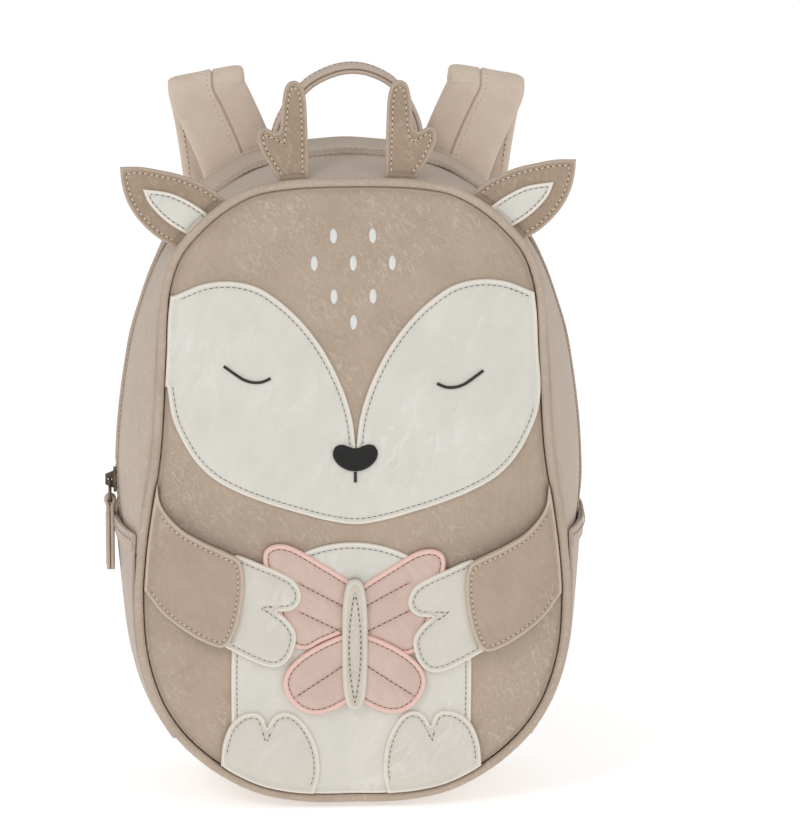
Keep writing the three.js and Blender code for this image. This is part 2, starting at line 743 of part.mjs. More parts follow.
// Side pocket: a second wall over the side, open at its mouth and closing in at its foot.
function addPocket({ name, stations }) {
  const shares = [POCKET_INSET, ...SIDE_SHARES, 1 - POCKET_INSET];
  const run = stations.filter(
    (_, i) => halfShares[i] >= POCKET_FOOT && halfShares[i] <= mouthAlong + Number.EPSILON,
  );
  const sections = run.map((place, i) => {
    const open = Math.sin((Math.min(1, i / POCKET_RISE) * Math.PI) / 2);
    const face = (share, wall) => {
      const stand = GAP + POCKET_STAND * open * Math.sin(Math.PI * share);
      return offSeam(place, swellAt(place, share) + stand + wall, depthAt(share));
    };
    return [
      ...shares.map((share) => face(share, POCKET_WALL)),
      ...[...shares].reverse().map((share) => face(share, 0)),
    ];
  });
  add(bag, "pocket_" + name, loft(sections), MATERIALS.tan);
}

// Ears and antlers: flat pieces caught behind the piping

const EAR_FRONT = FRONT_Y + GAP + PIPING / 2 + GAP + INNER_EAR + GAP;

function addEar({ name, sign }) {
  const angle = THREE.MathUtils.degToRad(EAR_ANGLE);
  const place = (a, b) =>
    new THREE.Vector2(
      EAR_SHIFT + sign * (EAR_X + EAR_LENGTH * (a * Math.cos(angle) - b * Math.sin(angle))),
      EAR_RISE + sign * EAR_DRIFT + EAR_LENGTH * (a * Math.sin(angle) + b * Math.cos(angle)),
    );
  const ear = [...stroke(EAR_UPPER, place), ...stroke(EAR_LOWER, place), place(...EAR_LOWER.at(-1))];
  const inner = [
    ...stroke(INNER_EAR_UPPER, place),
    ...stroke(INNER_EAR_LOWER, place),
    place(...INNER_EAR_LOWER.at(-1)),
  ];
  add(bag, "ear_" + name, prism(ear, EAR_FRONT, EAR_FRONT + EAR_THICKNESS).subtract(seating), MATERIALS.tan);
  const innerFront = EAR_FRONT - GAP - INNER_EAR;
  add(bag, "inner_ear_" + name, prism(inner, innerFront, EAR_FRONT - GAP).subtract(seating), MATERIALS.cream);
}

function addAntler({ name, sign }) {
  const place = (u, v) =>
    new THREE.Vector2(
      ANTLER_DRIFT + sign * (ANTLER_INSIDE + u * ANTLER_SPREAD),
      ANTLER_ROOT + v * ANTLER_HEIGHT,
    );
  const outline = [...stroke(ANTLER_STEM, place), ...stroke(ANTLER_TINE, place), place(...ANTLER_TINE.at(-1))];
  const front = FRONT_Y + GAP + PIPING / 2 + GAP;
  add(bag, "antler_" + name, prism(outline, front, front + ANTLER_THICKNESS).subtract(seating), MATERIALS.tan);
}

// Face

function addFace() {
  const place = (u, v) => new THREE.Vector2(MASK_DRIFT + u * MASK_HALF, MASK_FOOT + v * MASK_HEIGHT);
  const lobeEnd = place(...MASK_LOBE.at(-1));
  const cheekStart = place(...MASK_CHEEK[0]);
  const half = [
    ...stroke(MASK_LOBE, place),
    lobeEnd,
    new THREE.Vector2(HALF_WIDTH + PIPING, lobeEnd.y),
    new THREE.Vector2(HALF_WIDTH + PIPING, cheekStart.y),
    ...stroke(MASK_CHEEK, place),
    place(...MASK_CHEEK.at(-1)),
  ];
  const mask = mirrored(half, MASK_DRIFT);
  add(bag, "face_mask", patchOver(mask, FACE_LIFT, FACE_LIFT + PATCH), MATERIALS.cream);

  const nosePlace = (u, v) => new THREE.Vector2(NOSE_X + (u * NOSE_WIDTH) / 2, NOSE_FOOT + v * NOSE_HEIGHT);
  const nose = mirrored([...stroke(NOSE_SHAPE, nosePlace), nosePlace(...NOSE_SHAPE.at(-1))], NOSE_X);
  add(bag, "nose", patchOver(nose, FEATURE_LIFT, FEATURE_LIFT + PATCH), MATERIALS.black);

  const mouthTop = NOSE_FOOT - GAP;
  const mouth = ribbon(
    [new THREE.Vector2(NOSE_X, mouthTop), new THREE.Vector2(NOSE_X, mouthTop - MOUTH_LENGTH)],
    THREAD_BAND,
  );
  add(bag, "mouth_line", patchOver(mouth, FEATURE_LIFT, FEATURE_LIFT + THREAD_RELIEF), MATERIALS.black);

  for (const { name, sign } of SIDES) {
    const foot = EYE_FOOT - sign * EYE_DRIFT;
    const eyePlace = (u, v) => new THREE.Vector2(sign * (EYE_X + u * EYE_WIDTH), foot + v * EYE_WIDTH);
    const line = [...stroke(EYE_SHAPE, eyePlace, 2), eyePlace(...EYE_SHAPE.at(-1))];
    const eye = patchOver(ribbon(line, THREAD_BAND), FEATURE_LIFT, FEATURE_LIFT + THREAD_RELIEF);
    add(bag, "eye_" + name, eye, MATERIALS.black);
  }
}

function addFreckles() {
  let number = 0;
  for (const { rise, spots } of FRECKLE_ROWS) {
    for (let i = 0; i < spots; i++) {
      const x = (i - (spots - 1) / 2) * FRECKLE_PITCH;
      const height = FRECKLE_FOOT + rise * FRECKLE_SPREAD;
      const oval = new THREE.EllipseCurve(x, height, FRECKLE_WIDTH / 2, FRECKLE_LENGTH / 2);
      const spot = patchOver(oval.getPoints(10).slice(0, -1), GAP, GAP + THREAD_RELIEF);
      number += 1;
      add(bag, "freckle_" + number, spot, MATERIALS.thread);
    }
  }
}

// Belly and limbs

function addBelly() {
  const radius = BELLY_WIDTH / 2;
  const arch = new THREE.EllipseCurve(BELLY_DRIFT, BELLY_TOP - radius, radius, radius, 0, Math.PI);
  const outline = [
    ...arch.getPoints(22),
    new THREE.Vector2(BELLY_DRIFT - radius, -SEAM_LIFT),
    new THREE.Vector2(BELLY_DRIFT + radius, -SEAM_LIFT),
  ];
  add(bag, "belly", patchOver(outline, BELLY_LIFT, BELLY_LIFT + PATCH), MATERIALS.cream);
}

function addLimbs({ name, sign }) {
  const skew = sign > 0 ? FOOT_SKEW : 0;
  const footPlace = (u, v) => {
    const out = FOOT_X - ((u + skew * (1 - u * u)) * FOOT_WIDTH) / 2;
    return new THREE.Vector2(BELLY_DRIFT + sign * out, SEAM_LIFT + v * FOOT_HEIGHT);
  };
  const lobes = FOOT_LOBES.flatMap((lobe) => stroke(lobe, footPlace));
  const foot = [...lobes, footPlace(...FOOT_LOBES.at(-1).at(-1))];
  add(bag, "foot_" + name, patchOver(foot, FOOT_LIFT, FOOT_LIFT + PLUSH_PATCH), MATERIALS.cream);

  const drift = -sign * ARM_DRIFT;
  const armPlace = (u, v) =>
    new THREE.Vector2(sign * (CUFF_X + u * ARM_REACH), ARM_RISE + drift + v * CUFF_HALF);
  const [shoulder, armpit] = [armPlace(...SLEEVE_TOP[0]), armPlace(...SLEEVE_FOOT.at(-1))];
  const beyond = sign * (HALF_WIDTH + PIPING);
  const sleeve = [
    ...stroke(SLEEVE_TOP, armPlace),
    ...stroke(SLEEVE_CUFF, armPlace),
    ...stroke(SLEEVE_FOOT, armPlace),
    armpit,
    new THREE.Vector2(beyond, armpit.y),
    new THREE.Vector2(beyond, shoulder.y),
  ];
  const sleeveLift = (flat) => {
    const slope = THREE.MathUtils.mapLinear(Math.abs(flat.x), ARM_SLOPE_FROM, ARM_SLOPE_TO, 1, 0);
    return THREE.MathUtils.lerp(GAP, ARM_LIFT, THREE.MathUtils.clamp(slope, 0, 1));
  };
  add(
    bag,
    "arm_" + name,
    patchOver(sleeve, sleeveLift, (flat) => sleeveLift(flat) + PLUSH_PATCH),
    MATERIALS.tan,
  );

  const pawPlace = (u, v) =>
    new THREE.Vector2(sign * (PAW_X + u * PAW_REACH), PAW_RISE + drift + v * PAW_SPREAD);
  const paw = [...stroke(PAW_UPPER, pawPlace), ...stroke(PAW_LOWER, pawPlace), pawPlace(...PAW_LOWER.at(-1))];
  add(bag, "paw_" + name, patchOver(paw, PAW_LIFT, PAW_LIFT + PLUSH_PATCH), MATERIALS.cream);
}

// Butterfly held between the paws

function addButterfly() {
  for (const { name, sign } of SIDES) {
    const drift = -sign * WING_DRIFT;
    const wingPlace = (u, v) => new THREE.Vector2(sign * u * WING_SPAN, WING_RISE + drift + v * WING_HEIGHT);
    const wing = closedSpline(WING_EDGE, wingPlace);
    add(bag, "wing_upper_" + name, patchOver(wing, WING_LIFT, WING_LIFT + PATCH), MATERIALS.pink);

    const lowPlace = (u, v) => new THREE.Vector2(sign * u * LOW_WING_SPAN, LOW_WING_FOOT + v * LOW_WING_HEIGHT);
    const low = closedSpline(LOW_WING_EDGE, lowPlace);
    add(bag, "wing_lower_" + name, patchOver(low, LOW_WING_LIFT, LOW_WING_LIFT + PATCH), MATERIALS.pink);
  }
  const oval = bluntOval(INSECT_WIDTH / 2, INSECT_LENGTH / 2, INSECT_FULLNESS, 24);
  const insect = patchOver(
    oval.map((point) => point.setY(point.y + INSECT_RISE)),
    INSECT_LIFT,
    INSECT_LIFT + INSECT_THICKNESS,
  );
  add(bag, "butterfly_body", insect, MATERIALS.cream);
}

// Handle on top

function addHandle() {
  const rows = [...HANDLE_ARC.slice(1).reverse().map(({ out, up }) => ({ out: -out, up })), ...HANDLE_ARC];
  const curve = new THREE.CatmullRomCurve3(
    rows.map(({ out, up }) => {
      const height = THREE.MathUtils.lerp(HANDLE_ROOT, HANDLE_TOP, up);
      return new THREE.Vector3(out * HANDLE_HALF + up * HANDLE_LEAN, HANDLE_Y, height);
    }),
  );
  const steps = 20;
  const sections = Array.from({ length: steps + 1 }, (_, i) => {
    const point = curve.getPointAt(i / steps);
    const ahead = curve.getTangentAt(i / steps);
    const out = new THREE.Vector3(-ahead.z, 0, ahead.x);
    const corner = (y, t) =>
      point.clone().addScaledVector(out, (t * HANDLE_THICKNESS) / 2).setY(HANDLE_Y + (y * HANDLE_WIDTH) / 2);
    return [corner(-1, -1), corner(1, -1), corner(1, 1), corner(-1, 1)];
  });
  add(bag, "handle", solidOf(loft(sections)).subtract(seating), MATERIALS.tan);
}

// Shoulder straps

// Sections across a line of rows that each hold a point and a lean of the width.
function bandSections(rows, profile) {
  return rows.map((row, i) => {
    const before = rows[Math.max(i - 1, 0)].point;
    const after = rows[Math.min(i + 1, rows.length - 1)].point;
    const ahead = new THREE.Vector3().subVectors(after, before).normalize();
    const lean = THREE.MathUtils.degToRad(row.lean);
    const level = new THREE.Vector3(Math.cos(lean), 0, -Math.sin(lean) * row.sign);
    const across = level.projectOnPlane(ahead).normalize();
    const face = new THREE.Vector3().crossVectors(ahead, across);
    return profile(row).map(([w, t]) =>
      row.point.clone().addScaledVector(across, w).addScaledVector(face, t),
    );
  });
}

const padProfile = () => {
  const [edge, flat, tuck] = [STRAP_WIDTH / 2, STRAP_WIDTH / 2 - STRAP_BEVEL, STRAP_EDGE / 2];
  const [low, high] = [-STRAP_PAD / 2, STRAP_PAD / 2];
  const under = [[-edge, -tuck], [-flat, low], [flat, low], [edge, -tuck]];
  const over = [[edge, tuck], [flat, high], [-flat, high], [-edge, tuck]];
  return [...under, ...over];
};

const bandProfile = (width, thickness) => () => {
  const [w, t] = [width / 2, thickness / 2];
  return [[-w, -t], [w, -t], [w, t], [-w, t]];
};

// Rows of one strap from its root on the back, over the fold and down to its lower end.
function strapRows(sign) {
  const at = (out, y, up, lean) => ({
    sign,
    lean,
    point: new THREE.Vector3(STRAP_DRIFT + sign * out * HALF_WIDTH, y, up * STRAP_PEAK),
  });
  const rise = STRAP_RISE.map(({ out, up, lean }) => at(out, STRAP_Y, up, lean));
  const fold = [0, 45, 90, 135, 180].map((degrees) => {
    const angle = THREE.MathUtils.degToRad(degrees);
    const row = at(STRAP_TOP.out, STRAP_Y + STRAP_FOLD * (1 - Math.cos(angle)), STRAP_TOP.up, STRAP_TOP.lean);
    row.point.z += STRAP_FOLD * Math.sin(angle);
    return row;
  });
  const fall = STRAP_FALL.map(({ out, back, up, lean }) => at(out, BACK_Y + back * STRAP_BOW, up, lean));
  return [...rise, ...fold, ...fall];
}

function smoothRows(rows, steps) {
  const curve = new THREE.CatmullRomCurve3(rows.map((row) => row.point), false, "centripetal");
  return Array.from({ length: steps + 1 }, (_, i) => {
    const t = (i / steps) * (rows.length - 1);
    const row = Math.min(Math.floor(t), rows.length - 2);
    const lean = THREE.MathUtils.lerp(rows[row].lean, rows[row + 1].lean, t - row);
    return { sign: rows[0].sign, lean, point: curve.getPoint(i / steps) };
  });
}

// The adjuster's own frame: its middle, the way down the strap, across it and out of it.
function adjusterFrame(rows) {
  const [before, last] = rows.slice(-2);
  const ahead = new THREE.Vector3().subVectors(last.point, before.point).normalize();
  const across = new THREE.Vector3(1, 0, 0).projectOnPlane(ahead).normalize();
  const face = new THREE.Vector3().crossVectors(ahead, across);
  const middle = last.point.clone().addScaledVector(ahead, GAP + ADJUSTER_LENGTH / 2);
  return { middle, ahead, across, face };
}

function addStrap({ name, sign }) {
  const rows = strapRows(sign);
  const frame = adjusterFrame(rows);
  const inFrame = (down, out) => ({
    sign,
    lean: 0,
    point: frame.middle.clone().addScaledVector(frame.ahead, down).addScaledVector(frame.face, out),
  });
  const pitch = (ADJUSTER_LENGTH - ADJUSTER_BAR) / 2;
  const underTongue = ADJUSTER_THICKNESS / 2 + 2 * GAP + TONGUE_THICKNESS / 2;
  const underWebbing = ADJUSTER_THICKNESS / 2 + 2 * GAP + WEBBING_THICKNESS / 2;

  const foldEnd = rows.length - STRAP_FALL.length - 1;
  const lowRows = smoothRows(rows.slice(foldEnd), 2 * STRAP_FALL.length);
  const pad = loft(bandSections([...rows.slice(0, foldEnd), ...lowRows], padProfile));
  const tongueRows = [
    { ...rows.at(-1), point: rows.at(-1).point.clone().addScaledVector(frame.ahead, -STRAP_PAD) },
    inFrame(-pitch - ADJUSTER_BAR, -underTongue),
    inFrame(-pitch, -underTongue),
    inFrame(-pitch + ADJUSTER_BAR, -underTongue),
  ];
  const tongue = loft(bandSections(tongueRows, bandProfile(TONGUE_WIDTH, TONGUE_THICKNESS)));
  const strap = solidOf(pad).add(solidOf(tongue)).subtract(seating);
  add(bag, "strap_" + name, strap, MATERIALS.tan);

  const ring = new THREE.Shape([
    new THREE.Vector2(-ADJUSTER_WIDTH / 2, -ADJUSTER_LENGTH / 2),
    new THREE.Vector2(ADJUSTER_WIDTH / 2, -ADJUSTER_LENGTH / 2),
    new THREE.Vector2(ADJUSTER_WIDTH / 2, ADJUSTER_LENGTH / 2),
    new THREE.Vector2(-ADJUSTER_WIDTH / 2, ADJUSTER_LENGTH / 2),
  ]);
  const slotHalf = ADJUSTER_WIDTH / 2 - ADJUSTER_BAR;
  for (const side of [-1, 1]) {
    const [inner, outer] = [(side * ADJUSTER_BAR) / 2, side * (ADJUSTER_LENGTH / 2 - ADJUSTER_BAR)];
    ring.holes.push(
      new THREE.Path([
        new THREE.Vector2(-slotHalf, inner),
        new THREE.Vector2(slotHalf, inner),
        new THREE.Vector2(slotHalf, outer),
        new THREE.Vector2(-slotHalf, outer),
      ]),
    );
  }
  const adjuster = new THREE.ExtrudeGeometry(ring, { ...PLAIN, depth: ADJUSTER_THICKNESS });
  adjuster.translate(0, 0, -ADJUSTER_THICKNESS / 2);
  const basis = new THREE.Matrix4().makeBasis(frame.across, frame.ahead.clone().negate(), frame.face);
  basis.setPosition(frame.middle);
  adjuster.applyMatrix4(basis);
  add(bag, "strap_adjuster_" + name, solidOf(adjuster), MATERIALS.brass);

  const tail = STRAP_TAIL.map(({ out, back, up }) => ({
    sign,
    lean: 0,
    point: new THREE.Vector3(STRAP_DRIFT + sign * out * HALF_WIDTH, BACK_Y + back * STRAP_BOW, up * STRAP_PEAK),
  }));
  const anchorY = ANCHOR_FACE + GAP + WEBBING_THICKNESS / 2;
  const onAnchor = ANCHOR_GRIP.map((share) => ({
    sign,
    lean: 0,
    point: new THREE.Vector3(sign * ANCHOR_X, anchorY, ANCHOR_RISE + share * ANCHOR_HEIGHT),
  }));
  const webbingRows = [
    inFrame(-ADJUSTER_BAR, underWebbing),
    inFrame(ADJUSTER_BAR / 2 + 2 * GAP, underWebbing),
    inFrame(pitch - ADJUSTER_BAR, -underWebbing),
    inFrame(pitch + ADJUSTER_BAR, -underWebbing),
    ...tail,
    ...onAnchor,
  ];
  const webbing = loft(bandSections(webbingRows, bandProfile(WEBBING_WIDTH, WEBBING_THICKNESS)));
  add(bag, "webbing_" + name, webbing, MATERIALS.webbing);

  const [wide, high] = [ANCHOR_WIDTH / 2, ANCHOR_HEIGHT / 2];
  const tab = [
    new THREE.Vector2(-wide, high),
    new THREE.Vector2(wide, high),
    new THREE.Vector2(wide * ANCHOR_TAPER, -high),
    new THREE.Vector2(-wide * ANCHOR_TAPER, -high),
  ].map((point) => new THREE.Vector2(sign * (point.x + ANCHOR_X), point.y + ANCHOR_RISE));
  add(bag, "strap_anchor_" + name, prism(tab, BACK_Y, ANCHOR_FACE).subtract(seating), MATERIALS.tan);
}

// Zip slider on the left side and the pull that hangs from it

function addSlider() {
  const along = alongAt(POCKET_MOUTH + SLIDER_CLEAR);
  const place = station(along, -1);
  const surface = offSeam(place, swellAt(place, zipFront), 0);
  const plateX = surface.x - GAP;
  const holeHeight = RING_WIRE + 2 * WIRE_CLEARANCE;
  const axis = new THREE.Vector3(plateX - SLIDER_PLATE - 2 * GAP - holeHeight / 2, 0, surface.z);

  const plate = new THREE.BoxGeometry(SLIDER_PLATE, SLIDER_WIDTH, SLIDER_LENGTH);
  plate.translate(plateX - SLIDER_PLATE / 2, 0, axis.z);
  const footDepth = ZIP_DEPTH + GAP;
  const footWidth = ZIP_WIDTH - 4 * GAP;
  const foot = new THREE.BoxGeometry(footDepth + SLIDER_PLATE / 2, footWidth, SLIDER_LENGTH * SLIDER_FOOT);
  foot.translate(plateX + footDepth / 2 - SLIDER_PLATE / 4 - GAP, 0, axis.z);
  const arch = new THREE.Shape([
    new THREE.Vector2(plateX - SLIDER_PLATE / 2, axis.z - SLIDER_LENGTH * BRIDGE_FOOT),
    new THREE.Vector2(plateX - SLIDER_PLATE / 2, axis.z + SLIDER_LENGTH * BRIDGE_FOOT),
    new THREE.Vector2(axis.x - holeHeight / 2 - BRIDGE_WALL, axis.z + SLIDER_LENGTH * BRIDGE_TOP),
    new THREE.Vector2(axis.x - holeHeight / 2 - BRIDGE_WALL, axis.z - SLIDER_LENGTH * BRIDGE_TOP),
  ]);
  const eye = new THREE.Path();
  eye.absarc(axis.x, axis.z, holeHeight / 2, 0, 2 * Math.PI);
  arch.holes.push(eye);
  const bridge = new THREE.ExtrudeGeometry(arch, { ...PLAIN, depth: BRIDGE_WIDTH });
  bridge.rotateX(Math.PI / 2);
  bridge.translate(0, BRIDGE_WIDTH / 2, 0);
  const slider = solidOf(plate).add(solidOf(foot)).add(solidOf(bridge));
  add(bag, "zip_slider", slider, MATERIALS.brass);

  const pull = new THREE.Group();
  pull.position.copy(axis);
  bag.add(pull);
  addPull(pull);
}

// Ring and leather tab, about the middle of the ring's upper bar.
function addPull(pull) {
  const wireSides = 6;
  const [half, bend] = [RING_WIDTH / 2 - RING_WIRE / 2, RING_BEND];
  const path = [];
  for (const [cy, cz, from] of [
    [half - bend, -bend, 90],
    [half - bend, -RING_LENGTH + bend, 0],
    [-half + bend, -RING_LENGTH + bend, -90],
    [-half + bend, -bend, -180],
  ]) {
    for (const turn of [0, 45, 90]) {
      const angle = THREE.MathUtils.degToRad(from - turn);
      const out = new THREE.Vector2(Math.cos(angle), Math.sin(angle));
      path.push({ middle: new THREE.Vector2(cy, cz).addScaledVector(out, bend), out });
    }
  }
  const ring = path.map(({ middle, out }) =>
    Array.from({ length: wireSides }, (_, i) => {
      const angle = (i / wireSides) * 2 * Math.PI;
      const flat = middle.clone().addScaledVector(out, (Math.cos(angle) * RING_WIRE) / 2);
      return new THREE.Vector3((Math.sin(angle) * RING_WIRE) / 2, flat.x, flat.y);
    }),
  );
  add(pull, "pull_ring", loft(ring, true), MATERIALS.brass);

  const [top, bottom] = [-RING_LENGTH + PULL_THICKNESS / 2, -RING_LENGTH + PULL_THICKNESS / 2 - PULL_LENGTH];
  const side = new THREE.Shape();
  const radius = PULL_THICKNESS / 2;
  side.absarc(0, -RING_LENGTH, radius, Math.PI, 0, true);
  side.lineTo(radius, bottom);
  side.lineTo(-radius, bottom);
  const hole = new THREE.Path();
  hole.absarc(0, -RING_LENGTH, RING_WIRE / 2 + WIRE_CLEARANCE, 0, 2 * Math.PI);
  side.holes.push(hole);
  const slab = new THREE.ExtrudeGeometry(side, { ...PLAIN, depth: PULL_WIDTH });
  slab.rotateX(Math.PI / 2);
  slab.translate(0, PULL_WIDTH / 2, 0);

  const [neck, wide, round] = [RING_WIDTH / 2 - RING_WIRE - 2 * WIRE_CLEARANCE, PULL_WIDTH / 2, PULL_ROUND];
  const neckEnd = -RING_LENGTH - RING_WIRE / 2 - WIRE_CLEARANCE * 2;
  const front = new THREE.Shape();
  front.moveTo(-neck, top + GAP);
  front.lineTo(neck, top + GAP);
  front.lineTo(neck, neckEnd);
  front.lineTo(wide, neckEnd - PULL_SHOULDER);
  front.lineTo(wide, bottom + round);
  front.absarc(wide - round, bottom + round, round, 0, -Math.PI / 2, true);
  front.absarc(round - wide, bottom + round, round, -Math.PI / 2, -Math.PI, true);
  front.lineTo(-wide, neckEnd - PULL_SHOULDER);
  front.lineTo(-neck, neckEnd);
  const face = new THREE.ExtrudeGeometry(front, { ...PLAIN, depth: PULL_THICKNESS * 2 });
  face.translate(0, 0, -PULL_THICKNESS);
  face.rotateX(Math.PI / 2);
  face.rotateZ(Math.PI / 2);
  add(pull, "pull_tab", solidOf(slab).intersect(solidOf(face)), MATERIALS.tan);
}

addShell();
addSides();
SIDES.forEach(addPocket);
SIDES.forEach(addEar);
SIDES.forEach(addAntler);
addFace();
addFreckles();
addBelly();
SIDES.forEach(addLimbs);
addButterfly();
addHandle();
SIDES.forEach(addStrap);
addSlider();

export default bag;
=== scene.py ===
"""Dresses a child's fawn-shaped backpack in faux leather, thread and brass.

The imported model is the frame: every sewn piece takes its outline from the node that it stands for.
Lengths in this file are millimetres, and MM turns them into metres where a mesh is made.
"""
from __future__ import annotations

import json
import logging
import math
from dataclasses import dataclass, field
from enum import Enum
from typing import Callable, Sequence

import bmesh
import bpy
from mathutils import Matrix, Vector, noise
from mathutils.geometry import delaunay_2d_cdt
from mathutils.kdtree import KDTree

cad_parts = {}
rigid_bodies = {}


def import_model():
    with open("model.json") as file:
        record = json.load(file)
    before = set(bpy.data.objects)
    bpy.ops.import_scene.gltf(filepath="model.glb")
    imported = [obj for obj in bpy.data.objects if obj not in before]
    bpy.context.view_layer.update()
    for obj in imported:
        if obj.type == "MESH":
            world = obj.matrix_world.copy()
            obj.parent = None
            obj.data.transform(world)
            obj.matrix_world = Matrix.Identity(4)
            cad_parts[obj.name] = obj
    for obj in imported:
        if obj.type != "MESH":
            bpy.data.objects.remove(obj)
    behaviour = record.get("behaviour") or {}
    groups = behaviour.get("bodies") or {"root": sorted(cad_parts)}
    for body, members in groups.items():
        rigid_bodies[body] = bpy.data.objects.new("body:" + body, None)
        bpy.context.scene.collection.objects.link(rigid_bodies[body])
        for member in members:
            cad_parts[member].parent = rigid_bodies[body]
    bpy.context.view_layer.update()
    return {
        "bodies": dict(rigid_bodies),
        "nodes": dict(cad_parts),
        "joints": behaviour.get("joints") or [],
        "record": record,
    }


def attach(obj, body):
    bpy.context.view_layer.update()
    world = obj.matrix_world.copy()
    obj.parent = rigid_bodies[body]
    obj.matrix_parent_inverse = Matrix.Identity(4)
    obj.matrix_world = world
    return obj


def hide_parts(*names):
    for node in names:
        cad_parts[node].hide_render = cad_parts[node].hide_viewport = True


LOG = logging.getLogger("backpack")
MM = 0.001
UP = Vector((0, 0, 1))

Colour = tuple[float, float, float]
Surface = Callable[[float, float, float], float]
Seam = list[tuple[Vector, Vector]]


class Body(Enum):
    """The rigid bodies that pieces ride on."""

    BAG = "bag"
    PULL = "zip_pull"


class Slot(Enum):
    """The record's material slots."""

    TAN = "tan_leather"
    CREAM = "cream_leather"
    PINK = "pink_leather"
    BLACK = "black_leather"
    THREAD = "white_thread"
    WEBBING = "webbing"
    BRASS = "brass"


class Side(Enum):
    """Left and right as the front is seen."""

    LEFT = -1
    RIGHT = 1

    @property
    def word(self) -> str:
        """The word that ends a node's name."""
        return self.name.lower()


# Shader maths


class Value:
    """A number in a shader that Python sums can use."""

    def __init__(self, graph: "Graph", socket: bpy.types.NodeSocket) -> None:
        """Wraps an output socket of a graph."""
        self.graph = graph
        self.socket = socket

    def _math(self, operation: str, first: object, second: object) -> "Value":
        """Adds a Math node with two inputs."""
        return self.graph.add("ShaderNodeMath", {"operation": operation}, {0: first, 1: second})

    def __add__(self, other: object) -> "Value":
        """Sum."""
        return self._math("ADD", self, other)

    __radd__ = __add__

    def __mul__(self, other: object) -> "Value":
        """Product."""
        return self._math("MULTIPLY", self, other)

    __rmul__ = __mul__

    def __sub__(self, other: object) -> "Value":
        """Difference."""
        return self._math("SUBTRACT", self, other)

    def __rsub__(self, other: object) -> "Value":
        """Difference from a number."""
        return self._math("SUBTRACT", other, self)


class Graph:
    """A material's nodes, built one call at a time."""

    def __init__(self, name: str) -> None:
        """Makes a material with only a shader and its output."""
        self.material = bpy.data.materials.new(name)
        self.material.use_nodes = True
        self.tree = self.material.node_tree
        self.tree.nodes.clear()
        self.shader = self.tree.nodes.new("ShaderNodeBsdfPrincipled")
        output = self.tree.nodes.new("ShaderNodeOutputMaterial")
        self.tree.links.new(self.shader.outputs[0], output.inputs[0])

    def feed(self, socket: bpy.types.NodeSocket, value: object) -> None:
        """Links a value to a socket, or sets it there.

        Args:
            socket: The input.
            value: A Value, a number or a tuple.
        """
        if isinstance(value, Value):
            self.tree.links.new(value.socket, socket)
        elif isinstance(value, tuple) and len(value) == 3 and socket.type == "RGBA":
            socket.default_value = (*value, 1)
        else:
            socket.default_value = value

    def add(
        self, kind: str, settings: dict | None = None, values: dict | None = None, output: object = 0
    ) -> Value:
        """Adds a node.

        Args:
            kind: The node's type.
            settings: Its properties, and a ramp's stops.
            values: What its inputs take, by name or number.
            output: The output that is returned.

        Returns:
            That output.
        """
        node = self.tree.nodes.new(kind)
        for key, value in (settings or {}).items():
            if key == "stops":
                ramp = node.color_ramp.elements
                while len(ramp) < len(value):
                    ramp.new(1)
                for element, (place, colour) in zip(ramp, value):
                    element.position = place
                    element.color = (*colour, 1)
            else:
                setattr(node, key, value)
        for key, value in (values or {}).items():
            self.feed(node.inputs[key], value)
        return Value(self, node.outputs[output])

    def place(self) -> Value:
        """Object coordinates."""
        return self.add("ShaderNodeTexCoord", output="Object")

    def noise(self, place: Value, size: float, detail: float = 2, coloured: bool = False) -> Value:
        """Cloudy noise whose blotches are about size millimetres across."""
        values = {"Vector": place, "Scale": 1 / (size * MM), "Detail": detail}
        return self.add("ShaderNodeTexNoise", values=values, output=int(coloured))

    def shift(self, place: Value, warp: Value, amount: float) -> Value:
        """Pushes a place by a colour noise, up to half of amount millimetres each way."""
        half = (-0.5 * amount * MM,) * 3
        centred = self.add("ShaderNodeVectorMath", {"operation": "ADD"}, {0: place, 1: half})
        values = {0: warp, 1: (amount * MM,) * 3, 2: centred}
        return self.add("ShaderNodeVectorMath", {"operation": "MULTIPLY_ADD"}, values)

    def ease(self, value: Value, low: float, high: float, start: float = 0, end: float = 1) -> Value:
        """Turns a value between low and high smoothly into start to end."""
        return self.add(
            "ShaderNodeMapRange",
            {"interpolation_type": "SMOOTHSTEP"},
            {"Value": value, "From Min": low, "From Max": high, "To Min": start, "To Max": end},
        )

    def mix(self, share: object, first: object, second: object) -> Value:
        """Mixes two colours."""
        settings = {"data_type": "RGBA"}
        return self.add("ShaderNodeMix", settings, {"Factor": share, 6: first, 7: second}, output=2)

    def relief(self, height: Value, depth: float, strength: float = 1) -> Value:
        """Bump of some millimetres."""
        values = {"Height": height, "Distance": depth * MM, "Strength": strength}
        return self.add("ShaderNodeBump", values=values)

    def finish(
        self, colour: object, roughness: object, normal: Value | None = None, **fixed: object
    ) -> None:
        """Sets the shader's sockets.

        Args:
            colour: Base colour.
            roughness: Roughness.
            normal: Bumped normal.
            fixed: Other sockets by name, with a blank written as an underscore.
        """
        self.feed(self.shader.inputs["Base Color"], colour)
        self.feed(self.shader.inputs["Roughness"], roughness)
        if normal:
            self.feed(self.shader.inputs["Normal"], normal)
        for key, value in fixed.items():
            self.feed(self.shader.inputs[key.replace("_", " ")], value)


EDGE_REACH = 4.0


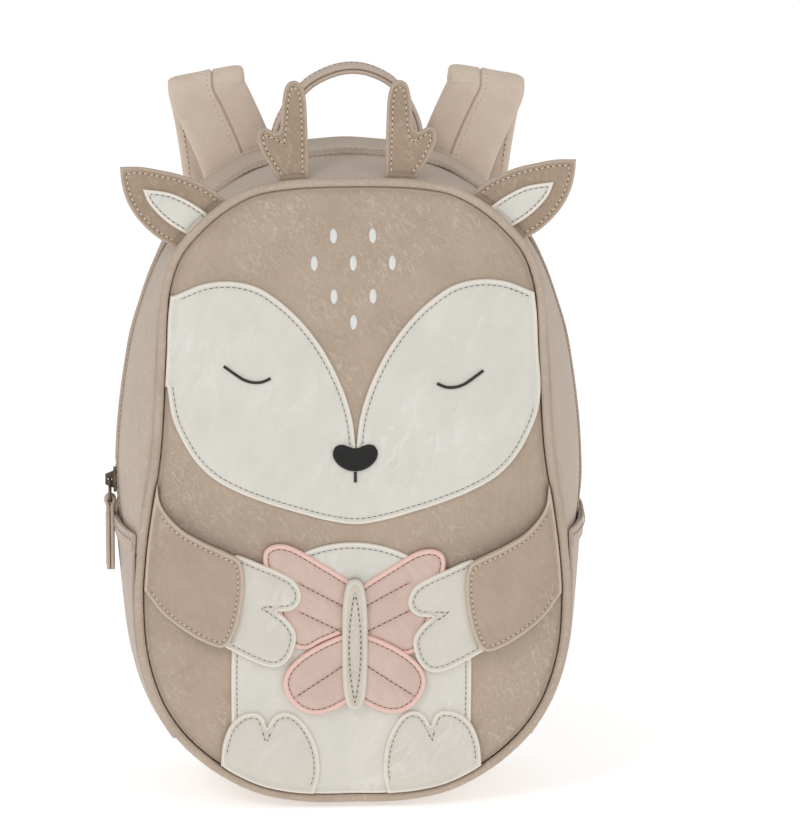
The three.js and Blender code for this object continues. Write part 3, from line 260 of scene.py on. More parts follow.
@dataclass(frozen=True)
class Leather:
    """Printed faux leather: a cloudy ground under short wandering pale strokes, and a pale edge.

    Attributes:
        shade: Colour of the ground.
        deep: Its darker clouds.
        crease: Colour of the strokes.
        edge: Colour of the cut edge.
        cell: Distance between strokes.
        share: How strongly the strokes show.
        cover: Where the patches with more strokes begin and end, in noise.
        least: Share of the strokes outside those patches.
        turn: Their lean in degrees.
        stretch: Their length over their width.
    """

    name: str
    shade: Colour
    deep: Colour
    crease: Colour
    edge: Colour
    cell: float = 1.4
    share: float = 0.5
    cover: tuple[float, float] = (0.38, 0.56)
    least: float = 0.3
    edge_width: float = 1.2
    turn: float = -32
    stretch: float = 3.0
    relief_depth: float = 0.16
    roughness: float = 0.6

    def material(self) -> bpy.types.Material:
        """Builds the material."""
        graph = Graph(self.name)
        place = graph.place()
        bent = graph.shift(place, graph.noise(place, 19, 2, True), 9)
        bent = graph.shift(bent, graph.noise(place, 3.4, 2, True), 1.7)
        turned = graph.add(
            "ShaderNodeMapping",
            {"vector_type": "TEXTURE"},
            {"Vector": bent, "Rotation": (0, math.radians(self.turn), 0), "Scale": (1, 1, self.stretch)},
        )
        long = self.strokes(graph, turned, self.cell * 1.5)
        short = self.strokes(graph, turned, self.cell * 0.8)
        broken = graph.ease(graph.noise(turned, self.cell * 1.9, 2), 0.4, 0.56)
        patches = graph.ease(graph.noise(place, 55, 3), *self.cover) * (1 - self.least) + self.least
        marks = graph.ease(long * broken + short * 0.45, 0.0, 0.9) * patches
        cloud = graph.ease(graph.noise(place, 22, 4), 0.3, 0.7)
        streaks = graph.noise(turned, self.cell * 0.9, 3)
        grain = graph.noise(place, 0.8, 3)
        ground = cloud * 0.5 + graph.ease(streaks, 0.32, 0.68) * 0.35 + graph.ease(grain, 0.3, 0.7) * 0.15
        colour = graph.mix(ground, self.deep, self.shade)
        colour = graph.mix(marks * self.share, colour, self.crease)
        near_edge = graph.add("ShaderNodeAttribute", {"attribute_name": "edge"}, output="Fac")
        width = self.edge_width / EDGE_REACH
        rim = graph.ease(near_edge, 1 - width - 0.08, 1 - width + 0.05)
        colour = graph.mix(rim * 0.85, colour, self.edge)
        height = marks * 0.5 + streaks * 0.5 + grain * 0.3
        rough = self.roughness - marks * 0.05 + grain * 0.08
        graph.finish(colour, rough, graph.relief(height, self.relief_depth), Specular_IOR_Level=0.35)
        return graph.material

    def strokes(self, graph: Graph, place: Value, size: float) -> Value:
        """Thin wandering lines, where a cloudy pattern is at its middle."""
        off = graph.noise(place, size, 2) - 0.5
        return graph.ease(graph.add("ShaderNodeMath", {"operation": "ABSOLUTE"}, {0: off}), 0.0, 0.05, 1, 0)


@dataclass(frozen=True)
class Thread:
    """Twisted sewing thread, with painted shade in the grooves between its plies."""

    name: str
    shade: Colour
    roughness: float = 0.75

    def material(self) -> bpy.types.Material:
        """Builds the material."""
        graph = Graph(self.name)
        place = graph.place()
        ply = graph.add(
            "ShaderNodeTexWave",
            {"bands_direction": "DIAGONAL"},
            {"Vector": place, "Scale": 0.5 / MM, "Distortion": 1.5},
            output=1,
        )
        # Darker where the ply sinks: painted shade in the grooves of the twist.
        dark = tuple(0.7 * c for c in self.shade)
        graph.finish(graph.mix(ply, dark, self.shade), self.roughness, graph.relief(ply, 0.08))
        return graph.material


def needle_hole(name: str, shade: Colour) -> bpy.types.Material:
    """Painted shadow for the needle holes, a little uneven."""
    graph = Graph("hole_" + name)
    place = graph.place()
    deep = tuple(0.6 * c for c in shade)
    graph.finish(graph.mix(graph.noise(place, 2), deep, shade), 0.9)
    return graph.material


@dataclass(frozen=True)
class Stitch:
    """What a seam shows: lengths of thread, and between them dark grains of painted shadow, sunk where the
    needle holes are.
    """

    name: str
    thread: bpy.types.Material
    hole: bpy.types.Material
    length: float = 1.7
    gap: float = 1.0
    width: float = 0.55


@dataclass(frozen=True)
class Metal:
    """Antique brass, worn in patches."""

    name: str
    shade: Colour
    worn: Colour

    def material(self) -> bpy.types.Material:
        """Builds the material."""
        graph = Graph(self.name)
        place = graph.place()
        stain = graph.ease(graph.noise(place, 3, 4), 0.35, 0.65)
        scratch = graph.noise(place, 0.35, 3)
        graph.finish(
            graph.mix(stain, self.shade, self.worn),
            0.3 + stain * 0.2 + scratch * 0.1,
            graph.relief(scratch, 0.02),
            Metallic=0.9,
        )
        return graph.material


@dataclass(frozen=True)
class Woven:
    """Flat webbing or zip tape, with painted shade between its yarns."""

    name: str
    shade: Colour
    pitch: float = 1.1

    def material(self) -> bpy.types.Material:
        """Builds the material."""
        graph = Graph(self.name)
        place = graph.place()
        rows = []
        for axis in ("X", "Z"):
            rows.append(
                graph.add(
                    "ShaderNodeTexWave",
                    {"bands_direction": axis},
                    {"Vector": place, "Scale": 0.314 / (self.pitch * MM), "Distortion": 0.6},
                    output=1,
                )
            )
        weave = rows[0] * 0.5 + rows[1] * 0.5
        # Darker where the weave sinks: painted shade between the yarns.
        dark = tuple(0.55 * c for c in self.shade)
        graph.finish(graph.mix(weave, dark, self.shade), 0.85, graph.relief(weave, 0.25))
        return graph.material


class Finishes:
    """Every finish of the bag, made once."""

    def __init__(self) -> None:
        """Builds the materials."""
        self.front = Leather(
            "tan_front", (0.461, 0.361, 0.282), (0.383, 0.294, 0.224),
            (0.63, 0.53, 0.435), (0.56, 0.46, 0.37), cover=(0.4, 0.6), least=0.22,
        ).material()
        self.dark = Leather(
            "tan_dark", (0.37, 0.274, 0.2), (0.302, 0.221, 0.155), (0.51, 0.41, 0.315), (0.5, 0.4, 0.32),
            cell=1.7, share=0.4, edge_width=1.0,
        ).material()
        self.arm = Leather(
            "tan_sleeve", (0.437, 0.337, 0.266), (0.384, 0.291, 0.226),
            (0.56, 0.455, 0.365), (0.58, 0.475, 0.38), cell=2.8, share=0.5, cover=(0.46, 0.66), least=0.2,
        ).material()
        self.smooth = Leather(
            "tan_smooth", (0.57, 0.47, 0.388), (0.51, 0.415, 0.337), (0.67, 0.57, 0.48), (0.62, 0.52, 0.43),
            cell=3.4, share=0.35, cover=(0.46, 0.7), least=0.15, relief_depth=0.1, roughness=0.56,
        ).material()
        # The smooth tan again, made lighter: painted light where the straps face the front lamps.
        self.strap = Leather(
            "tan_strap", (0.69, 0.57, 0.47), (0.617, 0.502, 0.407), (0.7, 0.6, 0.51), (0.66, 0.56, 0.47),
            cell=3.4, share=0.3, cover=(0.46, 0.7), least=0.15, relief_depth=0.1, roughness=0.56,
        ).material()
        # The sides' tan, brightened to make up for the light that the side faces lack: painted light over
        # the leather's own tone.
        self.side = Leather(
            "tan_side", (0.53, 0.436, 0.357), (0.475, 0.39, 0.322), (0.62, 0.53, 0.45), (0.6, 0.5, 0.42),
            cell=3.0, share=0.35, cover=(0.42, 0.66), least=0.2, relief_depth=0.12, roughness=0.56,
        ).material()
        self.piping = Leather(
            "tan_piping", (0.509, 0.41, 0.326), (0.41, 0.324, 0.252), (0.68, 0.57, 0.47), (0.6, 0.5, 0.42),
            cell=1.3, share=0.4, cover=(0.3, 0.6), least=0.3, stretch=1.6,
        ).material()
        self.cream = Leather(
            "cream", (0.676, 0.651, 0.598), (0.612, 0.596, 0.537), (0.8, 0.785, 0.755), (0.79, 0.73, 0.65),
            cell=7, share=0.3, cover=(0.45, 0.65), least=0.25, turn=25, relief_depth=0.1, roughness=0.52,
        ).material()
        self.pad = Leather(
            "cream_pad", (0.647, 0.613, 0.546), (0.593, 0.565, 0.499),
            (0.77, 0.745, 0.7), (0.77, 0.71, 0.63), cell=7, share=0.3, cover=(0.45, 0.65), least=0.2,
            turn=25, relief_depth=0.1, roughness=0.52,
        ).material()
        self.pink = Leather(
            "pink", (0.635, 0.478, 0.418), (0.56, 0.412, 0.357), (0.7, 0.56, 0.5), (0.82, 0.55, 0.48),
            cell=4, share=0.3, cover=(0.45, 0.7), least=0.2, edge_width=2.0,
            relief_depth=0.08, roughness=0.52,
        ).material()
        self.linen = Leather(
            "cream_body", (0.63, 0.57, 0.485), (0.53, 0.475, 0.395), (0.73, 0.68, 0.59), (0.68, 0.65, 0.57),
            cell=1.6, share=0.5, edge_width=1.8,
        ).material()
        self.black = Leather(
            "black", (0.008, 0.007, 0.006), (0.005, 0.005, 0.004),
            (0.014, 0.013, 0.012), (0.01, 0.009, 0.008), share=0.3, roughness=0.5,
        ).material()
        self.white_thread = Thread("thread_white", (0.85, 0.85, 0.82)).material()
        self.black_thread = Thread("thread_black", (0.018, 0.016, 0.015), 0.55).material()
        self.brass = Metal("antique_brass", (0.085, 0.067, 0.045), (0.2, 0.16, 0.105)).material()
        self.webbing = Woven("webbing_tan", (0.46, 0.37, 0.29)).material()
        self.tape = Woven("zip_tape", (0.06, 0.048, 0.038), 0.8).material()
        # Each seam's second material is the painted shadow of its needle holes.
        self.tan_seam = Stitch(
            "tan_seam", Thread("thread_tan", (0.84, 0.7, 0.55)).material(),
            needle_hole("brown", (0.07, 0.045, 0.03)), 1.6, 1.1, 0.62,
        )
        self.zip_seam = Stitch(
            "zip_seam", Thread("thread_zip", (0.66, 0.53, 0.42)).material(),
            needle_hole("tan", (0.26, 0.2, 0.15)), 1.7, 0.8, 0.42,
        )
        self.cream_seam = Stitch(
            "cream_seam", Thread("thread_cream", (0.68, 0.66, 0.6)).material(),
            needle_hole("grey", (0.19, 0.19, 0.16)), 1.2, 1.5, 0.85,
        )
        self.rose_seam = Stitch(
            "rose_seam", Thread("thread_rose", (0.62, 0.4, 0.34)).material(),
            needle_hole("rose", (0.13, 0.06, 0.05)), 1.2, 1.5, 0.85,
        )


# Lines and frames


def steps_along(points: Sequence[Vector], step: float, closed: bool) -> list[Vector]:
    """Points at about equal steps along a line.

    Args:
        points: The line.
        step: Distance wanted.
        closed: Whether the line ends where it starts.

    Returns:
        The new points, without the first one again at the end of a closed line.
    """
    line = list(points) + ([points[0]] if closed else [])
    reach = [0.0]
    for before, after in zip(line, line[1:]):
        reach.append(reach[-1] + (after - before).length)
    count = max(2, round(reach[-1] / step))
    result = []
    at = 0
    for i in range(count if closed else count + 1):
        goal = reach[-1] * i / count
        while at < len(line) - 2 and reach[at + 1] < goal:
            at += 1
        span = max(reach[at + 1] - reach[at], 1e-9)
        result.append(line[at].lerp(line[at + 1], min(1.0, (goal - reach[at]) / span)))
    return result


def spline(points: Sequence[Vector], closed: bool, per_span: int = 8) -> list[Vector]:
    """A centripetal curve through points.

    Args:
        points: What it passes through.
        closed: Whether it returns to its start.
        per_span: Samples for each span.

    Returns:
        Its samples.
    """
    count = len(points)
    if count < 3:
        return list(points)
    ends = [points[0] * 2 - points[1], points[-1] * 2 - points[-2]]

    def pick(i: int) -> Vector:
        """A point by its number, also past the ends."""
        if closed:
            return points[i % count]
        return ends[0] if i < 0 else ends[1] if i >= count else points[i]

    result = []
    for i in range(count if closed else count - 1):
        quad = [pick(i + k) for k in (-1, 0, 1, 2)]
        times = [0.0]
        for a, b in zip(quad, quad[1:]):
            times.append(times[-1] + max(math.sqrt((b - a).length), 1e-6))
        for j in range(per_span):
            t = times[1] + (times[2] - times[1]) * j / per_span
            level = list(quad)
            for width in (1, 2):
                level = [
                    level[k].lerp(level[k + 1], (t - times[k]) / (times[k + width] - times[k]))
                    for k in range(len(level) - 1)
                ]
            low, high = level
            result.append(low.lerp(high, (t - times[1]) / (times[2] - times[1])))
    if not closed:
        result.append(points[-1].copy())
    return result


def turn_at(before: Vector, here: Vector, after: Vector) -> float:
    """Degrees by which a line turns at a point."""
    first, second = here - before, after - here
    if first.length < 1e-6 or second.length < 1e-6:
        return 0
    return math.degrees(first.angle(second))


CORNER_TURN = 52
CLEFT_TURN = 35
STRAIGHT_TURN = 0.45


def rounded(points: Sequence[Vector], step: float) -> list[Vector]:
    """A closed outline made smooth between its corners.

    Args:
        points: The coarse outline.
        step: Distance between the new points.

    Returns:
        The outline, turning left as the front is seen.
    """
    loop = list(points)
    area = sum(a.x * b.y - b.x * a.y for a, b in zip(loop, loop[1:] + loop[:1]))
    if area < 0:
        loop.reverse()
    kept = [
        here
        for before, here, after in zip(loop[-1:] + loop[:-1], loop, loop[1:] + loop[:1])
        if turn_at(before, here, after) > STRAIGHT_TURN
    ]
    count = len(kept)
    corners = [
        i for i in range(count) if turn_at(kept[i - 1], kept[i], kept[(i + 1) % count]) > CORNER_TURN
    ]
    if not corners:
        return steps_along(spline(kept, True), step, True)
    result = []
    for start, end in zip(corners, corners[1:] + [corners[0] + count]):
        stroke = [kept[i % count] for i in range(start, end + 1)]
        result += steps_along(spline(stroke, False), step, False)[:-1]
    return result


def node_mesh(name: str) -> bmesh.types.BMesh:
    """A merged copy of a node's mesh."""
    mesh = bmesh.new()
    mesh.from_mesh(FRAME["nodes"][name].data)
    bmesh.ops.remove_doubles(mesh, verts=mesh.verts, dist=1e-6)
    bmesh.ops.recalc_face_normals(mesh, faces=mesh.faces)
    return mesh


def outline_of(name: str, step: float = 1.1, facing: float = -0.35, soften: int = 0) -> list[Vector]:
    """The outline of a node's broad face.

    Args:
        name: The node.
        step: Distance between the outline's points.
        facing: Least share of Y that the face's normals hold, with its sign.
        soften: How often each point is drawn towards its neighbours.

    Returns:
        Points across and up, in millimetres.
    """
    mesh = node_mesh(name)
    sign = math.copysign(1, facing)
    broad = {f for f in mesh.faces if f.normal.y * sign > abs(facing)}
    rim = [e for e in mesh.edges if sum(f in broad for f in e.link_faces) == 1]
    following: dict = {}
    for edge in rim:
        for vert in edge.verts:
            following.setdefault(vert, []).append(edge)
    loops = []
    unused = set(rim)
    for first in rim:
        if first not in unused:
            continue
        unused.discard(first)
        start, here = first.verts
        loop = [start, here]
        while here is not start:
            choices = [e for e in following[here] if e in unused]
            if not choices:
                break
            edge = choices[0]
            unused.discard(edge)
            here = edge.other_vert(here)
            loop.append(here)
        loops.append([Vector((v.co.x, v.co.z)) / MM for v in loop[:-1]])
    mesh.free()
    longest = max(loops, key=lambda line: sum((a - b).length for a, b in zip(line, line[1:])))
    line = rounded(longest, step)
    for _ in range(soften):
        line = [(a + b * 2 + c) / 4 for a, b, c in zip(line[-1:] + line[:-1], line, line[1:] + line[:1])]
    return line


def rail_of(name: str, y: float) -> list[Vector]:
    """The outer edge of a strip that runs around the bag, at one depth.

    Args:
        name: The node.
        y: The depth.

    Returns:
        Points across and up from one end over the top or bottom to the other.
    """
    mesh = node_mesh(name)
    found: dict[int, Vector] = {}
    for vert in mesh.verts:
        if abs(vert.co.y / MM - y) > 0.2:
            continue
        flat = Vector((vert.co.x, vert.co.z)) / MM
        arm = flat - MIDDLE
        key = round(math.degrees(math.atan2(arm.x, arm.y)) / 1.5)
        if key not in found or (found[key] - MIDDLE).length < arm.length:
            found[key] = flat
    mesh.free()
    rail = [found[key] for key in sorted(found)]
    return [here for here in rail if not any(is_behind(here, other) for other in rail)]


def is_behind(here: Vector, other: Vector) -> bool:
    """Whether a point is on the inner wall behind another one close by."""
    return (other - here).length < 4 and (other - MIDDLE).length > (here - MIDDLE).length + 0.8


MIDDLE = Vector((0, 152.3))
FRAME: dict = {}


# Making meshes


def make_object(name: str, points: Sequence[Vector], faces: Sequence[Sequence[int]]) -> bpy.types.Object:
    """An object from points in millimetres and faces, shaded smooth."""
    mesh = bpy.data.meshes.new(name)
    mesh.from_pydata([tuple(p * MM) for p in points], [], faces)
    mesh.update()
    mesh.shade_smooth()
    piece = bpy.data.objects.new(name, mesh)
    bpy.context.scene.collection.objects.link(piece)
    return piece


def turn_outwards(piece: bpy.types.Object) -> None:
    """Makes the faces of a closed piece point outwards."""
    mesh = bmesh.new()
    mesh.from_mesh(piece.data)
    bmesh.ops.recalc_face_normals(mesh, faces=mesh.faces)
    mesh.to_mesh(piece.data)
    mesh.free()


def choose(piece: bpy.types.Object) -> None:
    """Makes a piece the only one selected, and active."""
    bpy.ops.object.select_all(action="DESELECT")
    piece.select_set(True)
    bpy.context.view_layer.objects.active = piece


def apply_modifier(piece: bpy.types.Object, kind: str, **settings: object) -> None:
    """Adds a modifier and applies it."""
    choose(piece)
    modifier = piece.modifiers.new(kind.title(), kind)
    for key, value in settings.items():
        setattr(modifier, key, value)
    bpy.ops.object.modifier_apply(modifier=modifier.name)


def dress(
    piece: bpy.types.Object,
    finish: bpy.types.Material,
    slot: Slot,
    stands_for: Sequence[str] = (),
    body: Body = Body.BAG,
) -> bpy.types.Object:
    """Gives a piece its finish and its place in the model.

    Args:
        piece: The piece.
        finish: Its material.
        slot: The record's slot; not used.
        stands_for: Nodes that it replaces.
        body: The body that it rides on.

    Returns:
        The piece.
    """
    piece.data.materials.clear()
    piece.data.materials.append(finish)
    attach(piece, body.value)
    if stands_for:
        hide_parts(*stands_for)
    LOG.info("%s: %d faces", piece.name, len(piece.data.polygons))
    return piece


def carry_over(name: str, finish: bpy.types.Material, width: float = 0.25) -> None:
    """Gives a node its finish and rounded edges.

    Args:
        name: The node.
        finish: Its material.
        width: Width of the rounding.
    """
    node = FRAME["nodes"][name]
    node.data.materials.clear()
    node.data.materials.append(finish)
    weld = node.modifiers.new("Weld", "WELD")
    weld.merge_threshold = 1e-6
    bevel = node.modifiers.new("Bevel", "BEVEL")
    bevel.width = width * MM
    bevel.segments = 3
    bevel.limit_method = "ANGLE"
    bevel.angle_limit = math.radians(35)
    LOG.info("%s: carried over", name)


def softened(name: str, node: str, levels: int = 2, crease: float = 0.8) -> bpy.types.Object:
    """A rounded copy of a node.

    Args:
        name: The copy's name.
        node: The node.
        levels: Levels of subdivision.
        crease: How far sharp edges stay sharp.

    Returns:
        The copy.
    """
    mesh = node_mesh(node)
    sharp = mesh.edges.layers.float.new("crease_edge")
    for edge in mesh.edges:
        if edge.calc_face_angle(0) > math.radians(55):
            edge[sharp] = crease
    data = bpy.data.meshes.new(name)
    mesh.to_mesh(data)
    mesh.free()
    piece = bpy.data.objects.new(name, data)
    bpy.context.scene.collection.objects.link(piece)
    choose(piece)
    bpy.ops.object.mode_set(mode="EDIT")
    bpy.ops.mesh.select_all(action="SELECT")
    bpy.ops.mesh.tris_convert_to_quads(
        face_threshold=math.radians(30), shape_threshold=math.radians(60)
    )
    bpy.ops.object.mode_set(mode="OBJECT")
    apply_modifier(piece, "SUBSURF", levels=levels, render_levels=levels)
    choose(piece)
    bpy.ops.object.shade_smooth_by_angle(angle=math.radians(40))
    return piece


CORNER_GAP = 2.2  # an inner line that breaks by more than this has passed a corner
CORNER_REACH = 4.5  # longest point of a drawn-on corner, in insets


@dataclass
class Cut:
    """A flat cut of leather, with rows of points along its edge and a grid inside.

    Attributes:
        line: Its outline.
        rows: Insets of the rows of points along the outline.
        spacing: Spacing of the grid.
        channels: Lines that get rows of points of their own.
        jump: Gap at which an inner line is broken in two.
    """

    line: list[Vector]
    rows: Sequence[float] = (0.25, 0.6, 1.0, 1.5, 2.0, 2.5, 3.0, 3.6, 4.4)
    spacing: float = 2.6
    channels: Sequence[Sequence[Vector]] = ()
    points: list[Vector] = field(default_factory=list)
    inset: list[float] = field(default_factory=list)
    triangles: list[tuple[int, ...]] = field(default_factory=list)
    jump: float = 11.0

    def __post_init__(self) -> None:
        """Fills the outline with triangles."""
        count = len(self.line)
        self.normals = []
        self.clefts = []
        for i in range(count):
            ahead = (self.line[(i + 1) % count] - self.line[i - 1]).normalized()
            self.normals.append(Vector((-ahead.y, ahead.x)))
            first, second = self.line[i] - self.line[i - 2], self.line[(i + 2) % count] - self.line[i]
            self.clefts.append(math.degrees(first.angle_signed(second)) > CLEFT_TURN)
        self.tree = KDTree(count)
        for i, point in enumerate(self.line):
            self.tree.insert(point.to_3d(), i)
        self.tree.balance()
        points = list(self.line)
        for row in self.rows:
            for point, normal in zip(self.line, self.normals):
                place = point + normal * row
                if self.reach(place)[0] > row * 0.97 - 0.02:
                    points.append(place)
        along = self.beside_channels()
        points += [p for p in self.grid() if all((p - q).length > 1.5 for q in along)]
        points += along
        result = delaunay_2d_cdt(points, [], [list(range(count))], 1, 0.02)
        self.points = [Vector(p) for p in result[0]]
        self.triangles = [tuple(face) for face in result[2]]
        self.inset = [self.reach(p)[0] for p in self.points]

    def beside_channels(self) -> list[Vector]:
        """Rows of points along the sewn channels."""
        points = []
        for channel in self.channels:
            line = steps_along(channel, 1.2, False)
            for i, point in enumerate(line):
                ahead = (line[min(i + 1, len(line) - 1)] - line[max(i - 1, 0)]).normalized()
                side = Vector((-ahead.y, ahead.x))
                for offset in (-1.5, -0.7, 0, 0.7, 1.5):
                    place = point + side * offset
                    distance, inside = self.reach(place)
                    if inside > 0 and distance > 0.8:
                        points.append(place)
        return points

    def reach(self, place: Vector) -> tuple[float, float]:
        """Distance to the edge, and how far inside of it a place is."""
        _, index, distance = self.tree.find(place.to_3d())
        return distance, (place - self.line[index]).dot(self.normals[index])

    def grid(self) -> list[Vector]:
        """Staggered points away from the edge."""
        low = Vector((min(p.x for p in self.line), min(p.y for p in self.line)))
        high = Vector((max(p.x for p in self.line), max(p.y for p in self.line)))
        points = []
        clear = (self.rows[-1] if self.rows else 0) + 0.5 * self.spacing
        rise = self.spacing * math.sqrt(3) / 2
        for row in range(int((high.y - low.y) / rise) + 1):
            for column in range(int((high.x - low.x) / self.spacing) + 1):
                place = low + Vector(((column + 0.5 * (row % 2)) * self.spacing, row * rise))
                distance, inside = self.reach(place)
                if inside > 0 and distance > clear:
                    points.append(place)
        return points

    def solid(self, name: str, near: Surface, far: Surface) -> bpy.types.Object:
        """A closed piece between two faces.

        Args:
            name: The piece's name.
            near: Depth of the face in front, from across, up and inset.
            far: Depth of the face behind.

        Returns:
            The piece.
        """
        count = len(self.points)
        points = [Vector((p.x, near(p.x, p.y, d), p.y)) for p, d in zip(self.points, self.inset)]
        points += [Vector((p.x, far(p.x, p.y, d), p.y)) for p, d in zip(self.points, self.inset)]
        faces = [tuple(face) for face in self.triangles]
        faces += [tuple(count + i for i in reversed(face)) for face in self.triangles]
        used: dict[tuple[int, int], int] = {}
        for face in self.triangles:
            for a, b in zip(face, face[1:] + face[:1]):
                used[(a, b)] = 1
        for a, b in used:
            if (b, a) not in used:
                faces.append((b, a, count + a, count + b))
        piece = make_object(name, points, faces)
        near_edge = piece.data.attributes.new("edge", "FLOAT", "POINT")
        near_edge.data.foreach_set("value", [max(0.0, 1 - d / EDGE_REACH) for d in self.inset] * 2)
        mesh = bmesh.new()
        mesh.from_mesh(piece.data)
        loose = [v for v in mesh.verts if not v.link_faces]
        bmesh.ops.delete(mesh, geom=loose, context="VERTS")
        mesh.to_mesh(piece.data)
        mesh.free()
        piece.data.shade_smooth()
        return piece

    @staticmethod
    def meeting(first: Vector, ahead: Vector, second: Vector, onwards: Vector) -> Vector | None:
        """Where a line that ends and one that starts would cross, drawn on, if they do."""
        cross = ahead.x * onwards.y - ahead.y * onwards.x
        if abs(cross) < 1e-3:
            return None
        gap = second - first
        share = (gap.x * onwards.y - gap.y * onwards.x) / cross
        return first + ahead * share if share > 0 else None

    def inner_line(self, inset: float) -> list[list[Vector]]:
        """Lines at a distance inside the edge, broken where they would cross.

        Args:
            inset: The distance.

        Returns:
            The lines.
        """
        runs: list[list[Vector]] = [[]]
        count = len(self.line)
        start = (self.clefts.index(True) + count // 2) % count if any(self.clefts) else 0
        for i in (k % count for k in range(start, start + count)):
            normal = self.normals[i]
            place = self.line[i] + normal * inset
            if self.clefts[i] or self.reach(place)[0] < inset * 0.96:
                continue
            gap = (place - runs[-1][-1]).length if runs[-1] else 0
            if gap > self.jump:
                runs.append([])
            elif gap > CORNER_GAP and len(runs[-1]) > 1:
                last = runs[-1][-1]
                meeting = self.meeting(last, last - runs[-1][-2], place, Vector((normal.y, -normal.x)))
                if meeting is not None and (meeting - last).length < CORNER_REACH * inset:
                    runs[-1].append(meeting)
            runs[-1].append(place)
        if len(runs) > 1 and (runs[-1][-1] - runs[0][0]).length < self.jump:
            runs[0] = runs.pop() + runs[0]
        elif len(runs) == 1 and runs[0]:
            runs[0].append(runs[0][0].copy())
        return [run for run in runs if len(run) > 2]


THREAD_OVERLAP = 1.15
# Depth of the dark grains of painted shadow in the needle holes.
HOLE_SHADOW_DEPTH = 0.34


class Needle:
    """Sews rows of stitches, all copies of one model, and gathers them by their thread."""

    def __init__(self) -> None:
        """Models a length of thread and a dark grain of painted shadow for the needle holes."""
        self.thread = self.model(6, 6)
        self.hole = self.model(6, 4)
        self.gathered: dict[tuple, tuple[list, list]] = {}

    def model(self, segments: int, rings: int) -> tuple[list[Vector], list[tuple[int, ...]]]:
        """A long grain of unit size that lies along X.

        Args:
            segments: Its sides.
            rings: Its steps from end to end.

        Returns:
            Its points and faces.
        """
        bpy.ops.object.select_all(action="DESELECT")
        bpy.ops.mesh.primitive_uv_sphere_add(segments=segments, ring_count=rings, radius=0.5)
        grain = bpy.context.active_object
        bpy.ops.object.mode_set(mode="EDIT")
        bpy.ops.mesh.select_all(action="SELECT")
        bpy.ops.transform.rotate(value=math.pi / 2, orient_axis="Y", center_override=(0, 0, 0))
        bpy.ops.object.mode_set(mode="OBJECT")
        points = [v.co.copy() for v in grain.data.vertices]
        faces = [tuple(face.vertices) for face in grain.data.polygons]
        bpy.data.objects.remove(grain)
        return points, faces

    def sew(self, rows: Sequence[Seam], stitch: Stitch, slot: Slot, body: Body = Body.BAG) -> None:
        """Sews along rows of points.

        Args:
            rows: Each row's points with the way out of the leather there.
            stitch: The kind of seam.
            slot: The material slot of the leather.
            body: The body that the leather rides on.
        """
        for row in rows:
            places = steps_along([p for p, _ in row], stitch.length + stitch.gap, False)
            for i, (before, after) in enumerate(zip(places, places[1:])):
                out = row[min(len(row) - 1, int(i / (len(places) - 1) * len(row)))][1]
                ahead = (after - before).normalized()
                across = out.cross(ahead).normalized()
                turn = Matrix((ahead, across, ahead.cross(across))).transposed()
                key = (stitch.name, stitch.thread, slot, body)
                size = (stitch.length * THREAD_OVERLAP, stitch.width, stitch.width)
                self.add(key, self.thread, (before + after) / 2, turn, size)
                # A dark grain at each needle gap: painted shadow of the needle holes.
                key = (stitch.name + "_holes", stitch.hole, slot, body)
                size = (stitch.gap * 1.05, stitch.width * 0.8, HOLE_SHADOW_DEPTH)
                self.add(key, self.hole, before, turn, size)

    def add(
        self, key: tuple, model: tuple[list, list], centre: Vector, turn: Matrix, size: Sequence[float]
    ) -> None:
        """Copies a model to a place.

        Args:
            key: Name, material, slot and body of what it joins.
            model: Points and faces.
            centre: Its place.
            turn: Its turn.
            size: Its length, width and height.
        """
        points, faces = self.gathered.setdefault(key, ([], []))
        base = len(points)
        points += [centre + turn @ Vector((p.x * size[0], p.y * size[1], p.z * size[2])) for p in model[0]]
        faces += [tuple(base + i for i in face) for face in model[1]]

    def cast_off(self) -> None:
        """Makes the pieces of all that was sewn."""
        for (name, material, slot, body), (points, faces) in self.gathered.items():
            piece = make_object(f"{name}_{slot.name.lower()}_{body.name.lower()}", points, faces)
            dress(piece, material, slot, body=body)


@dataclass
class Row:
    """One section of a band: its middle, the way across it and the way out of its face."""

    point: Vector
    across: Vector
    face: Vector


def band_rows(points: Sequence[Vector], leans: Sequence[Vector]) -> list[Row]:
    """Rows along a line.

    Args:
        points: Middles of the band.
        leans: The way across it at each point, roughly.

    Returns:
        The rows, with the way across square to the line.
    """
    rows = []
    for i, point in enumerate(points):
        ahead = (points[min(i + 1, len(points) - 1)] - points[max(i - 1, 0)]).normalized()
        across = (leans[i] - ahead * leans[i].dot(ahead)).normalized()
        rows.append(Row(point, across, ahead.cross(across)))
    return rows


def band(
    name: str, rows: Sequence[Row], profile: Callable[[float], Sequence[tuple[float, float]]],
    closed: bool = False,
) -> bpy.types.Object:
    """A band drawn along rows.

    Args:
        name: The piece's name.
        rows: Its sections.
        profile: Points across and out at a share of the length.
        closed: Whether the last section meets the first.

    Returns:
        The band, with flat ends.
    """
    points: list[Vector] = []
    faces: list[tuple[int, ...]] = []
    sections = [profile(i / max(len(rows) - 1, 1)) for i in range(len(rows))]
    count = len(sections[0])
    for row, section in zip(rows, sections):
        points += [row.point + row.across * w + row.face * t for w, t in section]
    for i in range(len(rows) if closed else len(rows) - 1):
        here, there = i * count, ((i + 1) % len(rows)) * count
        for j in range(count):
            k = (j + 1) % count
            faces.append((here + j, here + k, there + k, there + j))
    if not closed:
        faces.append(tuple(range(count)))
        faces.append(tuple(len(points) - 1 - i for i in range(count)))
    piece = make_object(name, points, faces)
    turn_outwards(piece)
    choose(piece)
    bpy.ops.object.shade_smooth_by_angle(angle=math.radians(50))
    return piece


